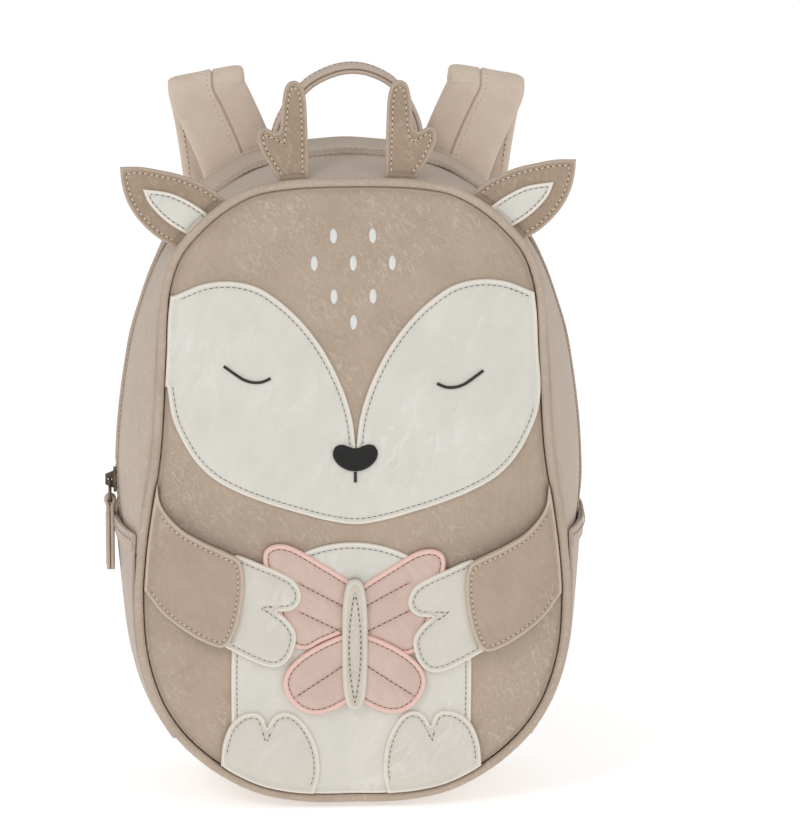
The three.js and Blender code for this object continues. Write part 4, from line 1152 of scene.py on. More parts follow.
def oval(width: float, height: float, count: int = 12, power: float = 2) -> list[tuple[float, float]]:
    """A rounded section.

    Args:
        width: Its width.
        height: Its height.
        count: Its points.
        power: 2 for an ellipse, more for a fuller shape.

    Returns:
        Its points.
    """
    points = []
    for i in range(count):
        angle = 2 * math.pi * (i + 0.5) / count
        c, s = math.cos(angle), math.sin(angle)
        points.append(
            (
                math.copysign(abs(c) ** (2 / power), c) * width / 2,
                math.copysign(abs(s) ** (2 / power), s) * height / 2,
            )
        )
    return points


# The front and the back


@dataclass
class Dome:
    """A padded panel that swells out of the bag's seam."""

    node: str
    facing: float
    edge_y: float
    crown: float
    fullness: float = 3.2

    def __post_init__(self) -> None:
        """Measures the seam around the middle."""
        self.line = outline_of(self.node, 1.6, self.facing)
        self.bins = 720
        self.radius = [0.0] * self.bins
        for point in steps_along(self.line, 0.3, True):
            arm = point - MIDDLE
            self.radius[self.slot(arm)] = arm.length
        for i in range(self.bins):
            if not self.radius[i]:
                self.radius[i] = self.radius[i - 1]

    def slot(self, arm: Vector) -> int:
        """Number of the direction that a point lies in."""
        return int((math.atan2(arm.y, arm.x) / (2 * math.pi) % 1) * self.bins) % self.bins

    def share(self, x: float, z: float) -> float:
        """How far a place is from the middle to the seam."""
        arm = Vector((x, z)) - MIDDLE
        return min(1.0, arm.length / self.radius[self.slot(arm)])

    def beyond(self, x: float, z: float) -> float:
        """How many millimetres a place lies outside the seam."""
        arm = Vector((x, z)) - MIDDLE
        return arm.length - self.radius[self.slot(arm)]

    def __call__(self, x: float, z: float) -> float:
        """Depth of the panel's face."""
        return self.edge_y + self.crown * (1 - self.share(x, z) ** self.fullness)

    def out(self, x: float, z: float) -> Vector:
        """The way out of the face."""
        h = 2.0
        sign = math.copysign(1, self.facing)
        slope_x = (self(x + h, z) - self(x - h, z)) / (2 * h)
        slope_z = (self(x, z + h) - self(x, z - h)) / (2 * h)
        return Vector((-slope_x, 1, -slope_z)).normalized() * sign


FRONT_Y = -46.0
BACK_Y = 46.0


def off_line(place: Vector, line: Sequence[Vector]) -> float:
    """Distance from a place to a line."""
    nearest = math.inf
    for start, end in zip(line, line[1:]):
        span = end - start
        share = max(0.0, min(1.0, (place - start).dot(span) / span.length_squared))
        nearest = min(nearest, (start + span * share - place).length)
    return nearest


CUT_EDGE = 0.3  # height of a cut edge, share of the thickness
BEAD_OFFSET = 0.3
BEAD_WIDTH = 0.75
SEAM_WIDTH = 0.6
CHANNEL_WIDTH = 1.1


@dataclass
class Patch:
    """A piece of leather that is sewn on the front.

    Attributes:
        lift: How far its underside is off the front.
        puff: How far it swells inside its seam, and puff_width over what distance.
        groove: How deep its seam sinks.
        inset: How far inside its edge the seam runs.
        rim: Width of its rounded edge.
        bead: How far the leather rises between its edge and its seam.
        ripple: Height of its slow waves.
        seam_limit: Share of the front beyond which the piping hides the seam.
        channels: Lines that are sewn down inside it, sunk by channel_depth.
        step: Distance between the points of its outline.
        soften: How often the outline is smoothed.
    """

    node: str
    lift: float
    thickness: float = 1.3
    puff: float = 0.25
    puff_width: float = 2.5
    groove: float = 0.45
    inset: float = 2.7
    rim: float = 0.7
    bead: float = 0.3
    ripple: float = 0.0
    stitched: bool = True
    seam_limit: float = 0.962
    channels: Sequence[Sequence[Vector]] = ()
    channel_depth: float = 0.9
    step: float = 1.1
    soften: int = 0

    def height(self, x: float, z: float, inset: float) -> float:
        """Height of its face above its underside."""
        edge = 1 - min(inset / self.rim, 1)
        rise = self.thickness * (CUT_EDGE + (1 - CUT_EDGE) * math.sqrt(max(0, 1 - edge * edge)))
        if self.stitched:
            rise += self.bead * math.exp(-(((inset - self.rim - BEAD_OFFSET) / BEAD_WIDTH) ** 2))
            rise -= self.groove * math.exp(-(((inset - self.inset) / SEAM_WIDTH) ** 2))
        if inset > self.inset:
            swell = 1 - math.exp(-(inset - self.inset) / self.puff_width)
            for channel in self.channels:
                gap = off_line(Vector((x, z)), channel)
                rise -= self.channel_depth * math.exp(-((gap / CHANNEL_WIDTH) ** 2))
                swell *= 1 - 0.7 * math.exp(-gap / 2)
            rise += self.puff * swell
        if self.ripple and inset > 0.8:
            wave = noise.noise(Vector((x, z, self.lift * 7)) / 17)
            wave += 0.5 * noise.noise(Vector((x, z, 3)) / 7)
            rise += self.ripple * wave * min(1, (inset - 0.8) / 4)
        return rise


# Sub-assemblies


@dataclass
class Bag:
    """What every sub-assembly shares: finishes, needles, the front and the back."""

    finishes: Finishes
    needle: Needle
    front: Dome
    back: Dome

    def lay(
        self, patch: Patch, name: str, finish: bpy.types.Material, slot: Slot, stitch: Stitch | None = None,
        fill: float | None = None, lift: Callable[[float, float], float] | None = None,
    ) -> Surface:
        """Sews a patch on the front.

        Args:
            patch: The patch.
            name: The new piece's name.
            finish: Its leather.
            slot: Its material slot.
            stitch: The kind of seam along its edge, if it has one.
            fill: How full it is, for a padded piece; not used.
            lift: How far its underside is off the front, where that changes.

        Returns:
            The depth of its face, from across, up and inset.
        """
        lift = lift or (lambda x, z: patch.lift)
        cut = Cut(outline_of(patch.node, patch.step, soften=patch.soften), channels=patch.channels)

        def near(x: float, z: float, inset: float) -> float:
            """Depth of the patch's face."""
            return self.front(x, z) - lift(x, z) - patch.height(x, z, inset)

        def far(x: float, z: float, inset: float) -> float:
            """Depth of its underside."""
            return self.front(x, z) - lift(x, z) * (0.3 if inset < 0.2 else 1)

        piece = cut.solid(name, near, far)
        dress(piece, finish, slot, [patch.node])
        if stitch is None:
            return near
        rows: list[Seam] = []
        for run in cut.inner_line(patch.inset):
            rows.append([])
            for p in steps_along(run, 0.8, False):
                if self.front.share(p.x, p.y) > patch.seam_limit:
                    rows.append([])
                    continue
                depth = near(p.x, p.y, max(patch.inset, cut.reach(p)[0])) - 0.05
                rows[-1].append((Vector((p.x, depth, p.y)), self.front.out(p.x, p.y)))
        self.needle.sew([row for row in rows if len(row) > 2], stitch, slot)
        for channel in patch.channels:
            self.sew_line(channel, lambda x, z: near(x, z, cut.reach(Vector((x, z)))[0]), stitch, slot)
        return near

    def sew_line(
        self, points: Sequence[Vector], depth: Callable[[float, float], float], stitch: Stitch, slot: Slot
    ) -> None:
        """Sews one line of stitches on a patch.

        Args:
            points: The line, across and up.
            depth: Depth of the patch's face.
            stitch: The kind of seam.
            slot: The slot of the leather.
        """
        row = [
            (Vector((p.x, depth(p.x, p.y) - 0.15, p.y)), self.front.out(p.x, p.y))
            for p in steps_along(points, 1, False)
        ]
        self.needle.sew([row], stitch, slot)


BOX_FACES = ((0, 1, 3, 2), (4, 6, 7, 5), (0, 4, 5, 1), (2, 3, 7, 6), (0, 2, 6, 4), (1, 5, 7, 3))


@dataclass
class Shell:
    """The padded front and back, the piping and the sides with their zip."""

    bag: Bag
    wall: float = 3.0
    piping_radius: float = 2.1
    piping_y: float = -45.7
    puckers: int = 160
    back_seam: float = 9
    rails_y: tuple[float, float] = (1.9, 20.24)
    lip_width: float = 3.4
    lip_height: float = 0.8
    lip_overlap: float = 1.1
    low_lip: float = 0.16
    slider_reach: float = 9
    zip_seam: float = 3.6
    tuck: float = 1.3
    tooth_pitch: float = 1.7
    slider_z: float = 151.1

    def build(self) -> None:
        """Makes every piece of the shell."""
        self.panels()
        self.piping()
        self.sides()
        self.zip()

    def panels(self) -> None:
        """The padded front and back."""
        front, back = self.bag.front, self.bag.back

        def face(x: float, z: float, inset: float) -> float:
            """Depth of the front, pulled in at its seam."""
            tuck = self.tuck * math.exp(-((inset / 1.6) ** 1.5))
            wave = noise.noise(Vector((x, z, 0)) / 26)
            return front(x, z) + tuck - 0.25 * wave * min(1, inset / 12)

        cut = Cut(front.line, (0.4, 0.9, 1.5, 2.3, 3.3, 4.6, 6.4), 3.2)
        piece = cut.solid("padded_front", face, lambda x, z, d: front(x, z) + self.wall)
        dress(piece, self.bag.finishes.front, Slot.TAN, ["front_panel"])

        def back_face(x: float, z: float, inset: float) -> float:
            """Depth of the back, pulled in at its seam and at a sewn line."""
            tuck = 1.6 * math.exp(-((inset / 1.6) ** 1.5))
            tuck += 1.1 * math.exp(-(((inset - self.back_seam) / 1.6) ** 2))
            return back(x, z) - tuck

        cut = Cut(back.line, (0.4, 0.9, 1.5, 2.3, 3.3, 4.6, 6.2, 7.4, 8.3, 9, 9.7, 10.6, 12), 3.4)
        piece = cut.solid("padded_back", lambda x, z, d: BACK_Y, back_face)
        dress(piece, self.bag.finishes.smooth, Slot.TAN, ["back_panel"])
        rows = []
        for run in cut.inner_line(self.back_seam):
            depths = [back_face(p.x, p.y, self.back_seam) + 0.1 for p in run]
            rows.append([(Vector((p.x, y, p.y)), Vector((0, 1, 0))) for p, y in zip(run, depths)])
        self.bag.needle.sew(rows, self.bag.finishes.tan_seam, Slot.TAN)

    def piping(self) -> None:
        """The cord in leather along the front seam."""
        line = []
        cut = self.bag.front.line
        count = len(cut)
        for i, point in enumerate(cut):
            ahead = (cut[(i + 1) % count] - cut[i - 1]).normalized()
            out = Vector((ahead.y, -ahead.x))
            place = point + out * (0.3 + self.piping_radius)
            line.append((Vector((place.x, self.piping_y, place.y)), Vector((out.x, 0, out.y))))
        rows = [Row(point, out, Vector((0, -1, 0))) for point, out in line]
        size = 2 * self.piping_radius

        def section(share: float) -> list[tuple[float, float]]:
            """A round section with slight puckers."""
            pucker = 1 + 0.018 * math.sin(share * 2 * math.pi * self.puckers)
            pucker += 0.02 * noise.noise(Vector((share * 90, 0, 0)))
            return oval(size * pucker, size * pucker, 14)

        piece = band("piping_front", rows, section, closed=True)
        dress(piece, self.bag.finishes.piping, Slot.TAN, ["front_piping"])

    def sides(self) -> None:
        """The strips of the sides."""
        for node in ("gusset_front", "gusset_back", "bottom_gusset"):
            piece = softened("side_" + node, node, 2, 0.9)
            dress(piece, self.bag.finishes.side, Slot.TAN, [node])

    def zip(self) -> None:
        """The folded lips on both sides of the zip, its teeth and the stitches beside it."""
        edge_y, inner_y = self.rails_y
        for sign, node in ((-1, "gusset_front"), (1, "gusset_back")):
            line = steps_along(spline(rail_of(node, sign * edge_y), False), 1.5, False)
            other = steps_along(spline(rail_of(node, sign * inner_y), False), 1.5, False)
            rows = []
            stitched = []
            count = len(line)
            share = self.zip_seam / (inner_y - edge_y)
            for i, point in enumerate(line):
                ahead = (line[min(i + 1, count - 1)] - line[max(i - 1, 0)]).normalized()
                out = Vector((-ahead.y, ahead.x))
                if out.dot(point - MIDDLE) < 0:
                    out = -out
                lip_y = edge_y + self.lip_width / 2 - self.lip_overlap
                middle = Vector((point.x, sign * lip_y, point.y))
                rows.append(Row(middle, Vector((0, 1, 0)), Vector((out.x, 0, out.y))))
                place = point.lerp(other[round(i * (len(other) - 1) / (count - 1))], share)
                away = Vector((out.x, 0, out.y))
                seam = Vector((place.x, sign * (edge_y + self.zip_seam), place.y))
                stitched.append((seam + away * 0.3, away))

            def section(share: float, rows: list[Row] = rows) -> list[tuple[float, float]]:
                """A low fold, lower where the slider rests."""
                row = rows[min(len(rows) - 1, int(share * (len(rows) - 1) + 0.5))]
                near_slider = row.point.x < 0 and abs(row.point.z - self.slider_z) < self.slider_reach
                height = self.low_lip if near_slider else self.lip_height
                return [(w, t if t > 0 else -0.6) for w, t in oval(self.lip_width, 2 * height, 12, 2.6)]

            piece = band("zip_lip_" + node, rows, section)
            dress(piece, self.bag.finishes.piping, Slot.TAN)
            self.bag.needle.sew([stitched], self.bag.finishes.zip_seam, Slot.TAN)
        chain = steps_along(spline(rail_of("zip_chain", -1.6), False), self.tooth_pitch, False)
        self.teeth(chain)
        node = FRAME["nodes"]["zip_chain"]
        node.data.materials.clear()
        node.data.materials.append(self.bag.finishes.tape)

    def teeth(self, line: Sequence[Vector]) -> None:
        """Two rows of small teeth that mesh along the zip.

        Args:
            line: Middle of the zip.
        """
        points: list[Vector] = []
        faces: list[tuple[int, ...]] = []
        for i, point in enumerate(line[:-1]):
            out = (point - MIDDLE).normalized()
            ahead = (line[i + 1] - point).normalized()
            side = 1 if i % 2 else -1
            base = len(points)
            for a in (-0.5, 0.5):
                for y in (-0.95, 0.75):
                    for t in (0.0, 0.32):
                        flat = point + ahead * (a * self.tooth_pitch * 0.8) + out * t
                        points.append(Vector((flat.x, side * y, flat.y)))
            faces += [tuple(base + k for k in face) for face in BOX_FACES]
        piece = make_object("zip_teeth", points, faces)
        turn_outwards(piece)
        piece.data.shade_flat()
        dress(piece, self.bag.finishes.brass, Slot.BRASS)


@dataclass
class Pocket:
    """A side pocket with a hem at its mouth."""

    bag: Bag
    side: Side
    hem: float = 9.0
    stitch_drop: float = 2.6
    stitch_lift: float = 1.45
    below: tuple[float, float] = (3, 22)

    def build(self) -> None:
        """Makes the pocket, its hem and its stitches."""
        node = "pocket_" + self.side.word
        piece = softened("soft_" + node, node, 2, 0.85)
        dress(piece, self.bag.finishes.side, Slot.TAN, [node])
        mesh = node_mesh(node)
        sign = self.side.value
        corners: dict[float, Vector] = {}
        lower: dict[float, Vector] = {}
        for vert in mesh.verts:
            here = vert.co / MM
            key = round(here.y, 1)
            if key not in corners or here.z > corners[key].z + 0.05 or (
                abs(here.z - corners[key].z) <= 1.2 and here.x * sign > corners[key].x * sign
            ):
                corners[key] = here.copy()
        for vert in mesh.verts:
            here = vert.co / MM
            key = round(here.y, 1)
            further_out = key not in lower or here.x * sign > lower[key].x * sign + 0.4
            if further_out and self.below[0] < corners[key].z - here.z < self.below[1]:
                lower[key] = here.copy()
        mesh.free()
        keys = [key for key in sorted(corners) if key in lower]
        top = steps_along(spline([corners[key] for key in keys], False), 2.0, False)
        low = steps_along(spline([lower[key] for key in keys], False), 2.0, False)
        rows = []
        stitched = []
        for i, point in enumerate(top):
            mate = low[round(i * (len(low) - 1) / (len(top) - 1))]
            down = (mate - point).normalized()
            out = Vector((0, 1, 0)).cross(down).normalized()
            if out.x * sign < 0:
                out = -out
            rows.append(Row(point + down * (self.hem / 2 - 0.6) + out * 0.25, down, out))
            stitched.append((point + down * self.stitch_drop + out * self.stitch_lift, out))
        piece = band("hem_" + self.side.word, rows, lambda share: oval(self.hem, 1.5, 14, 5))
        dress(piece, self.bag.finishes.side, Slot.TAN)
        self.bag.needle.sew([stitched], self.bag.finishes.tan_seam, Slot.TAN)


@dataclass
class Head:
    """Ears and antlers: doubled leather with stitched edges."""

    bag: Bag
    ear_y: float = -41.8
    ear_thickness: float = 3.0
    inner_ear_y: float = -43.4
    inner_ear_thickness: float = 1.5
    antler_y: float = -43.3
    antler_thickness: float = 4.0
    inset: float = 2.7
    inner_inset: float = 1.8
    bare_root: float = 4.6
    root_row: float = 9.0

    def build(self) -> None:
        """Makes both ears and both antlers."""
        finishes = self.bag.finishes
        tan = (finishes.dark, Slot.TAN, finishes.tan_seam)
        cream = (finishes.cream, Slot.CREAM, finishes.cream_seam)
        for side in Side:
            for part, near_y, thickness, inset, look in (
                ("ear", self.ear_y, self.ear_thickness, self.inset, tan),
                ("inner_ear", self.inner_ear_y, self.inner_ear_thickness, self.inner_inset, cream),
                ("antler", self.antler_y, self.antler_thickness, self.inset, tan),
            ):
                self.flat(f"{part}_{side.word}", near_y, thickness, inset, *look)

    def flat(
        self, node: str, near_y: float, thickness: float, inset: float,
        finish: bpy.types.Material, slot: Slot, stitch: Stitch,
    ) -> None:
        """A stitched flat piece.

        Args:
            node: Its node.
            near_y: Depth of its front face.
            thickness: Its thickness.
            inset: How far inside its edge the stitches run.
            finish: Its leather.
            slot: Its slot.
            stitch: Its kind of seam.
        """
        cut = Cut(outline_of(node, 0.9))
        middle = near_y + thickness / 2

        def half(d: float) -> float:
            """Half the thickness at an inset."""
            edge = 1 - min(d / 1.0, 1)
            rise = thickness / 2 * (0.35 + 0.65 * math.sqrt(max(0, 1 - edge * edge)))
            rise -= 0.4 * math.exp(-(((d - inset) / SEAM_WIDTH) ** 2))
            return rise + (0.3 * (1 - math.exp(-(d - inset) / 3)) if d > inset else 0)

        faces = (lambda x, z, d: middle - half(d), lambda x, z, d: middle + half(d))
        piece = cut.solid("sewn_" + node, *faces)
        dress(piece, finish, slot, [node])
        rows: list[Seam] = []
        for line in cut.inner_line(inset):
            run = steps_along(line, 0.8, False)
            rows.append([])
            for i, p in enumerate(run):
                beyond = self.bag.front.beyond(p.x, p.y)
                ahead = (run[min(i + 1, len(run) - 1)] - run[max(i - 1, 0)]).normalized()
                along_seam = abs(ahead.dot((p - MIDDLE).normalized())) < 0.55
                if beyond < self.bare_root or (along_seam and beyond < self.root_row):
                    rows.append([])
                else:
                    depth = middle - half(max(inset, cut.reach(p)[0])) - 0.05
                    rows[-1].append((Vector((p.x, depth, p.y)), Vector((0, -1, 0))))
        self.bag.needle.sew([row for row in rows if len(row) > 2], stitch, slot)


@dataclass
class Face:
    """Mask, nose, mouth, closed eyes and freckles."""

    bag: Bag
    mask_lift: float = 0.3
    feature_lift: float = 1.95

    def build(self) -> None:
        """Makes the face."""
        finishes = self.bag.finishes
        mask = Patch("face_mask", self.mask_lift, ripple=0.2)
        self.bag.lay(mask, "mask", finishes.cream, Slot.CREAM, finishes.cream_seam)
        nose = Patch(
            "nose", self.feature_lift - 0.3, thickness=1.7, puff=-0.35, puff_width=1.4, groove=0,
            inset=1.2, rim=0.9, stitched=False, step=0.45, soften=8,
        )
        self.bag.lay(nose, "nose_patch", finishes.black, Slot.BLACK)
        for node in ("mouth_line", "eye_left", "eye_right"):
            self.embroidery(node, finishes.black_thread, Slot.BLACK, self.feature_lift, 1.0)
        for number in range(1, 9):
            self.embroidery(f"freckle_{number}", finishes.white_thread, Slot.THREAD, 0.1, 0.85)

    def embroidery(
        self, node: str, finish: bpy.types.Material, slot: Slot, lift: float, height: float
    ) -> None:
        """A satin-stitched shape, rounded over its width.

        Args:
            node: Its node.
            finish: Its thread.
            slot: Its slot.
            lift: How far it starts off the front.
            height: How high it stands.
        """
        cut = Cut(outline_of(node, 0.35), (0.15, 0.35, 0.6, 0.9, 1.3), 0.6)
        widest = max(cut.inset)

        def near(x: float, z: float, inset: float) -> float:
            """Depth of the threads."""
            share = min(1, inset / widest)
            ply = 0.05 * math.sin((z + 0.35 * x) * 2 * math.pi / 0.55)
            return self.bag.front(x, z) - lift - height * math.sqrt(1 - (1 - share) ** 2) - ply * share

        piece = cut.solid("thread_" + node, near, lambda x, z, d: self.bag.front(x, z) - lift + 0.3)
        dress(piece, finish, slot, [node])


@dataclass
class Limbs:
    """Belly, feet, sleeves and paws."""

    bag: Bag
    slope: tuple[float, float] = (80, 96)
    sleeve_lift: float = 6.4
    paw_lift: float = 3.5
    foot_lift: float = 1.9
    pad: dict[str, float] = field(default_factory=lambda: {"thickness": 1.4, "puff": 1.3, "puff_width": 5})

    def build(self) -> None:
        """Makes the belly and the limbs of both sides."""
        finishes = self.bag.finishes
        cream, seam = finishes.pad, finishes.cream_seam
        self.bag.lay(Patch("belly", 0.3, ripple=0.3), "belly_patch", finishes.cream, Slot.CREAM, seam)
        for side in Side:
            foot = Patch("foot_" + side.word, self.foot_lift, ripple=0.25, **self.pad)
            self.bag.lay(foot, "soft_" + foot.node, cream, Slot.CREAM, seam, fill=0.4)
            paw = Patch("paw_" + side.word, self.paw_lift, ripple=0.2, **self.pad)
            self.bag.lay(paw, "soft_" + paw.node, cream, Slot.CREAM, seam, fill=0.4)
            sleeve = Patch(
                "arm_" + side.word, self.sleeve_lift, thickness=1.5, puff=1.2, puff_width=6, groove=0.5,
                ripple=0.3,
            )
            self.bag.lay(
                sleeve, "sleeve_" + side.word, finishes.arm, Slot.TAN, finishes.tan_seam, fill=0.4,
                lift=self.sleeve_height,
            )

    def sleeve_height(self, x: float, z: float) -> float:
        """How far a sleeve's underside lies off the front."""
        low, high = self.slope
        share = min(1.0, max(0.0, (high - abs(x)) / (high - low)))
        return 0.3 + (self.sleeve_lift - 0.3) * share


@dataclass
class Butterfly:
    """Pink wings with stitched veins and a long body."""

    bag: Bag
    upper_lift: float = 1.9
    lower_lift: float = 3.5
    body_lift: float = 5.1
    upper_veins: tuple = (((5.8, 101.2), (26.5, 112.5)), ((6.5, 88.8), (26.8, 98.9)))
    lower_veins: tuple = (((6.3, 71.7), (28.2, 56.8)),)
    spindle: tuple[float, float] = (55.0, 108.5)
    spindle_half: float = 2.8

    def build(self) -> None:
        """Makes the wings with their veins, and the body."""
        finishes = self.bag.finishes
        for side in Side:
            for part, lift, veins in (
                ("upper", self.upper_lift, self.upper_veins),
                ("lower", self.lower_lift, self.lower_veins),
            ):
                node = f"wing_{part}_{side.word}"
                lines = [[Vector((side.value * x, z)) for x, z in vein] for vein in veins]
                wing = Patch(
                    node, lift, thickness=1.2, puff=0.8, puff_width=3, inset=2.5, bead=0.4, channels=lines
                )
                self.bag.lay(wing, "leather_" + node, finishes.pink, Slot.PINK, finishes.rose_seam)
        low, high = self.spindle
        arcs = [[], []]
        for i in range(25):
            bow = self.spindle_half * math.sin(math.pi * i / 24) ** 0.8
            for arc, side in zip(arcs, Side):
                arc.append(Vector((side.value * bow, low + (high - low) * i / 24)))
        body = Patch(
            "butterfly_body", self.body_lift, thickness=2.1, puff=0.5, puff_width=1.5, groove=0,
            inset=2.4, rim=1.5, bead=0.2, channels=arcs, channel_depth=0.35,
        )
        depth = self.bag.lay(body, "insect_body", finishes.linen, Slot.CREAM)
        for arc in arcs:
            self.bag.sew_line(arc, lambda x, z: depth(x, z, 3.5), finishes.cream_seam, Slot.CREAM)


@dataclass
class Handle:
    """The top handle: two layers of leather folded together."""

    bag: Bag
    half: float = 35
    top: float = 344.2
    root: float = 298
    lean: float = 3.4
    y: float = 36.5
    width: float = 17
    thickness: float = 3.7
    rim_rise: float = 0.35
    seam: float = 2.7
    arc: tuple = ((0.0, 1.0), (0.25, 0.97), (0.57, 0.845), (0.83, 0.6), (0.96, 0.38), (1.02, 0.0))

    def build(self) -> None:
        """Makes the band and its stitches."""
        right = [Vector((self.half * out, self.root + (self.top - self.root) * up)) for out, up in self.arc]
        flat = [Vector((-p.x, p.y)) for p in reversed(right[1:])] + right
        points = []
        for p in steps_along(spline(flat, False), 1.5, False):
            up = (p.y - self.root) / (self.top - self.root)
            if up > 0.16:
                points.append(Vector((p.x + up * self.lean, self.y, p.y)))
        rows = band_rows(points, [Vector((0, 1, 0))] * len(points))
        w, t = self.width / 2, self.thickness / 2
        rim = t + self.rim_rise
        section = [
            (-w + 1.6, 0.1), (-w + 0.5, 0.25), (-w + 0.05, 0.6), (-w, rim / 2), (-w + 0.1, rim - 0.6),
            (-w + 0.6, rim - 0.1), (-w + 1.3, rim), (-w + 2.6, t - 0.1), (0, t + 0.1), (w - 2.6, t - 0.1),
            (w - 1.3, rim), (w - 0.6, rim - 0.1), (w - 0.1, rim - 0.6), (w, rim / 2), (w - 0.05, 0.6),
            (w - 0.5, 0.25), (w - 1.6, 0.1),
        ]
        section += [(x, -y) for x, y in reversed(section)]
        piece = band("handle_band", rows, lambda share: section)
        dress(piece, self.bag.finishes.smooth, Slot.TAN, ["handle"])
        stitched = [
            [(r.point + r.across * edge + r.face * (t - 0.05), r.face) for r in rows]
            for edge in (-w + self.seam, w - self.seam)
        ]
        self.bag.needle.sew(stitched, self.bag.finishes.tan_seam, Slot.TAN)


@dataclass
class Strap:
    """A padded shoulder strap that folds over at the top."""

    bag: Bag
    side: Side
    half_width: float = 99
    peak: float = 343
    width: float = 37
    pad: float = 8
    drift: float = 1.6
    rise_y: float = 55
    fold: float = 4.6
    bow: float = 38
    seam: float = 3.2
    topstitch: float = 2.6
    edge_seam: float = 3.5
    rise: tuple = ((0.455, 0.79, 19), (0.55, 0.88, 19), (0.64, 0.94, 14))
    crest: tuple = (0.686, 0.968, 10)
    fall: tuple = (
        (0.66, 0.536, 0.93, 10), (0.62, 0.624, 0.85, 8), (0.58, 0.856, 0.72, 4), (0.57, 1.0, 0.585, 0),
        (0.59, 0.945, 0.45, 0), (0.635, 0.724, 0.335, -2),
    )

    def rows(self) -> list[Row]:
        """Sections from the root on the back, over the fold and down to the lower end."""
        sign = self.side.value
        places = []

        def put(out: float, y: float, up: float, lean: float, extra: float = 0) -> None:
            """Adds a place and its lean."""
            point = Vector((self.drift + sign * out * self.half_width, y, up * self.peak + extra))
            places.append((point, lean))

        for out, up, lean in self.rise:
            put(out, self.rise_y, up, lean)
        out, up, lean = self.crest
        for degrees in (0, 45, 90, 135, 180):
            angle = math.radians(degrees)
            put(out, self.rise_y + self.fold * (1 - math.cos(angle)), up, lean, self.fold * math.sin(angle))
        for out, back, up, lean in self.fall:
            put(out, BACK_Y + back * self.bow, up, lean)
        line = spline([p for p, _ in places], False, 10)
        points, leans = [], []
        for i, point in enumerate(line):
            at = i / (len(line) - 1) * (len(places) - 1)
            k = min(int(at), len(places) - 2)
            lean = math.radians(places[k][1] + (places[k + 1][1] - places[k][1]) * (at - k))
            points.append(point)
            leans.append(Vector((math.cos(lean), 0, -math.sin(lean) * sign)))
        return band_rows(points, leans)

    def build(self) -> None:
        """Makes the strap, its stitches, and what holds its lower end."""
        rows = self.rows()
        sign = self.side.value
        half, deep = self.width / 2, self.pad / 2
        seam = -sign * self.seam
        flat_share = [-1.0, -0.97, -0.9, -0.8, -0.6, -0.35, -0.1]
        across = sorted(
            {half * w for w in flat_share} | {-half * w for w in flat_share}
            | {seam + s for s in (-1.6, -0.8, -0.35, 0, 0.35, 0.8, 1.6)}
        )

        def rise_at(w: float) -> float:
            """Half the pad's thickness at a place across it."""
            return deep * (0.36 + 0.64 * max(0.0, 1 - min(1, abs(w) / half) ** 8) ** 0.5)

        def section(share: float) -> list[tuple[float, float]]:
            """A pad with rounded edges and a seam on the side that faces the front at its root."""
            over, under = [], []
            for w in across:
                groove = 1.2 * math.exp(-(((w - seam) / 0.45) ** 2))
                groove -= 0.35 * math.exp(-(((w - seam - sign) / 0.8) ** 2))
                ruche = noise.noise(Vector((w / 9, share * 34, sign))) * 0.5 * min(1, abs(w) / half) ** 2
                over.append((w, rise_at(w) + ruche))
                under.append((w, ruche + groove - rise_at(w)))
            return over + under[::-1]

        piece = band("pad_" + self.side.word, rows, section)
        dress(piece, self.bag.finishes.strap, Slot.TAN, ["strap_" + self.side.word])
        stitched = []
        edge = half - self.edge_seam
        for offset, out in ((seam + sign * self.topstitch, -1), (edge, 1), (-edge, 1)):
            depth = out * (rise_at(offset) + 0.02)
            stitched.append([(r.point + r.across * offset + r.face * depth, r.face * out) for r in rows])
        self.bag.needle.sew(stitched, self.bag.finishes.tan_seam, Slot.TAN)
        finishes = self.bag.finishes
        carry_over("strap_adjuster_" + self.side.word, finishes.brass, 0.6)
        carry_over("strap_anchor_" + self.side.word, finishes.smooth, 0.8)
        node = "webbing_" + self.side.word
        dress(softened("woven_" + self.side.word, node, 2, 0.9), finishes.webbing, Slot.WEBBING, [node])


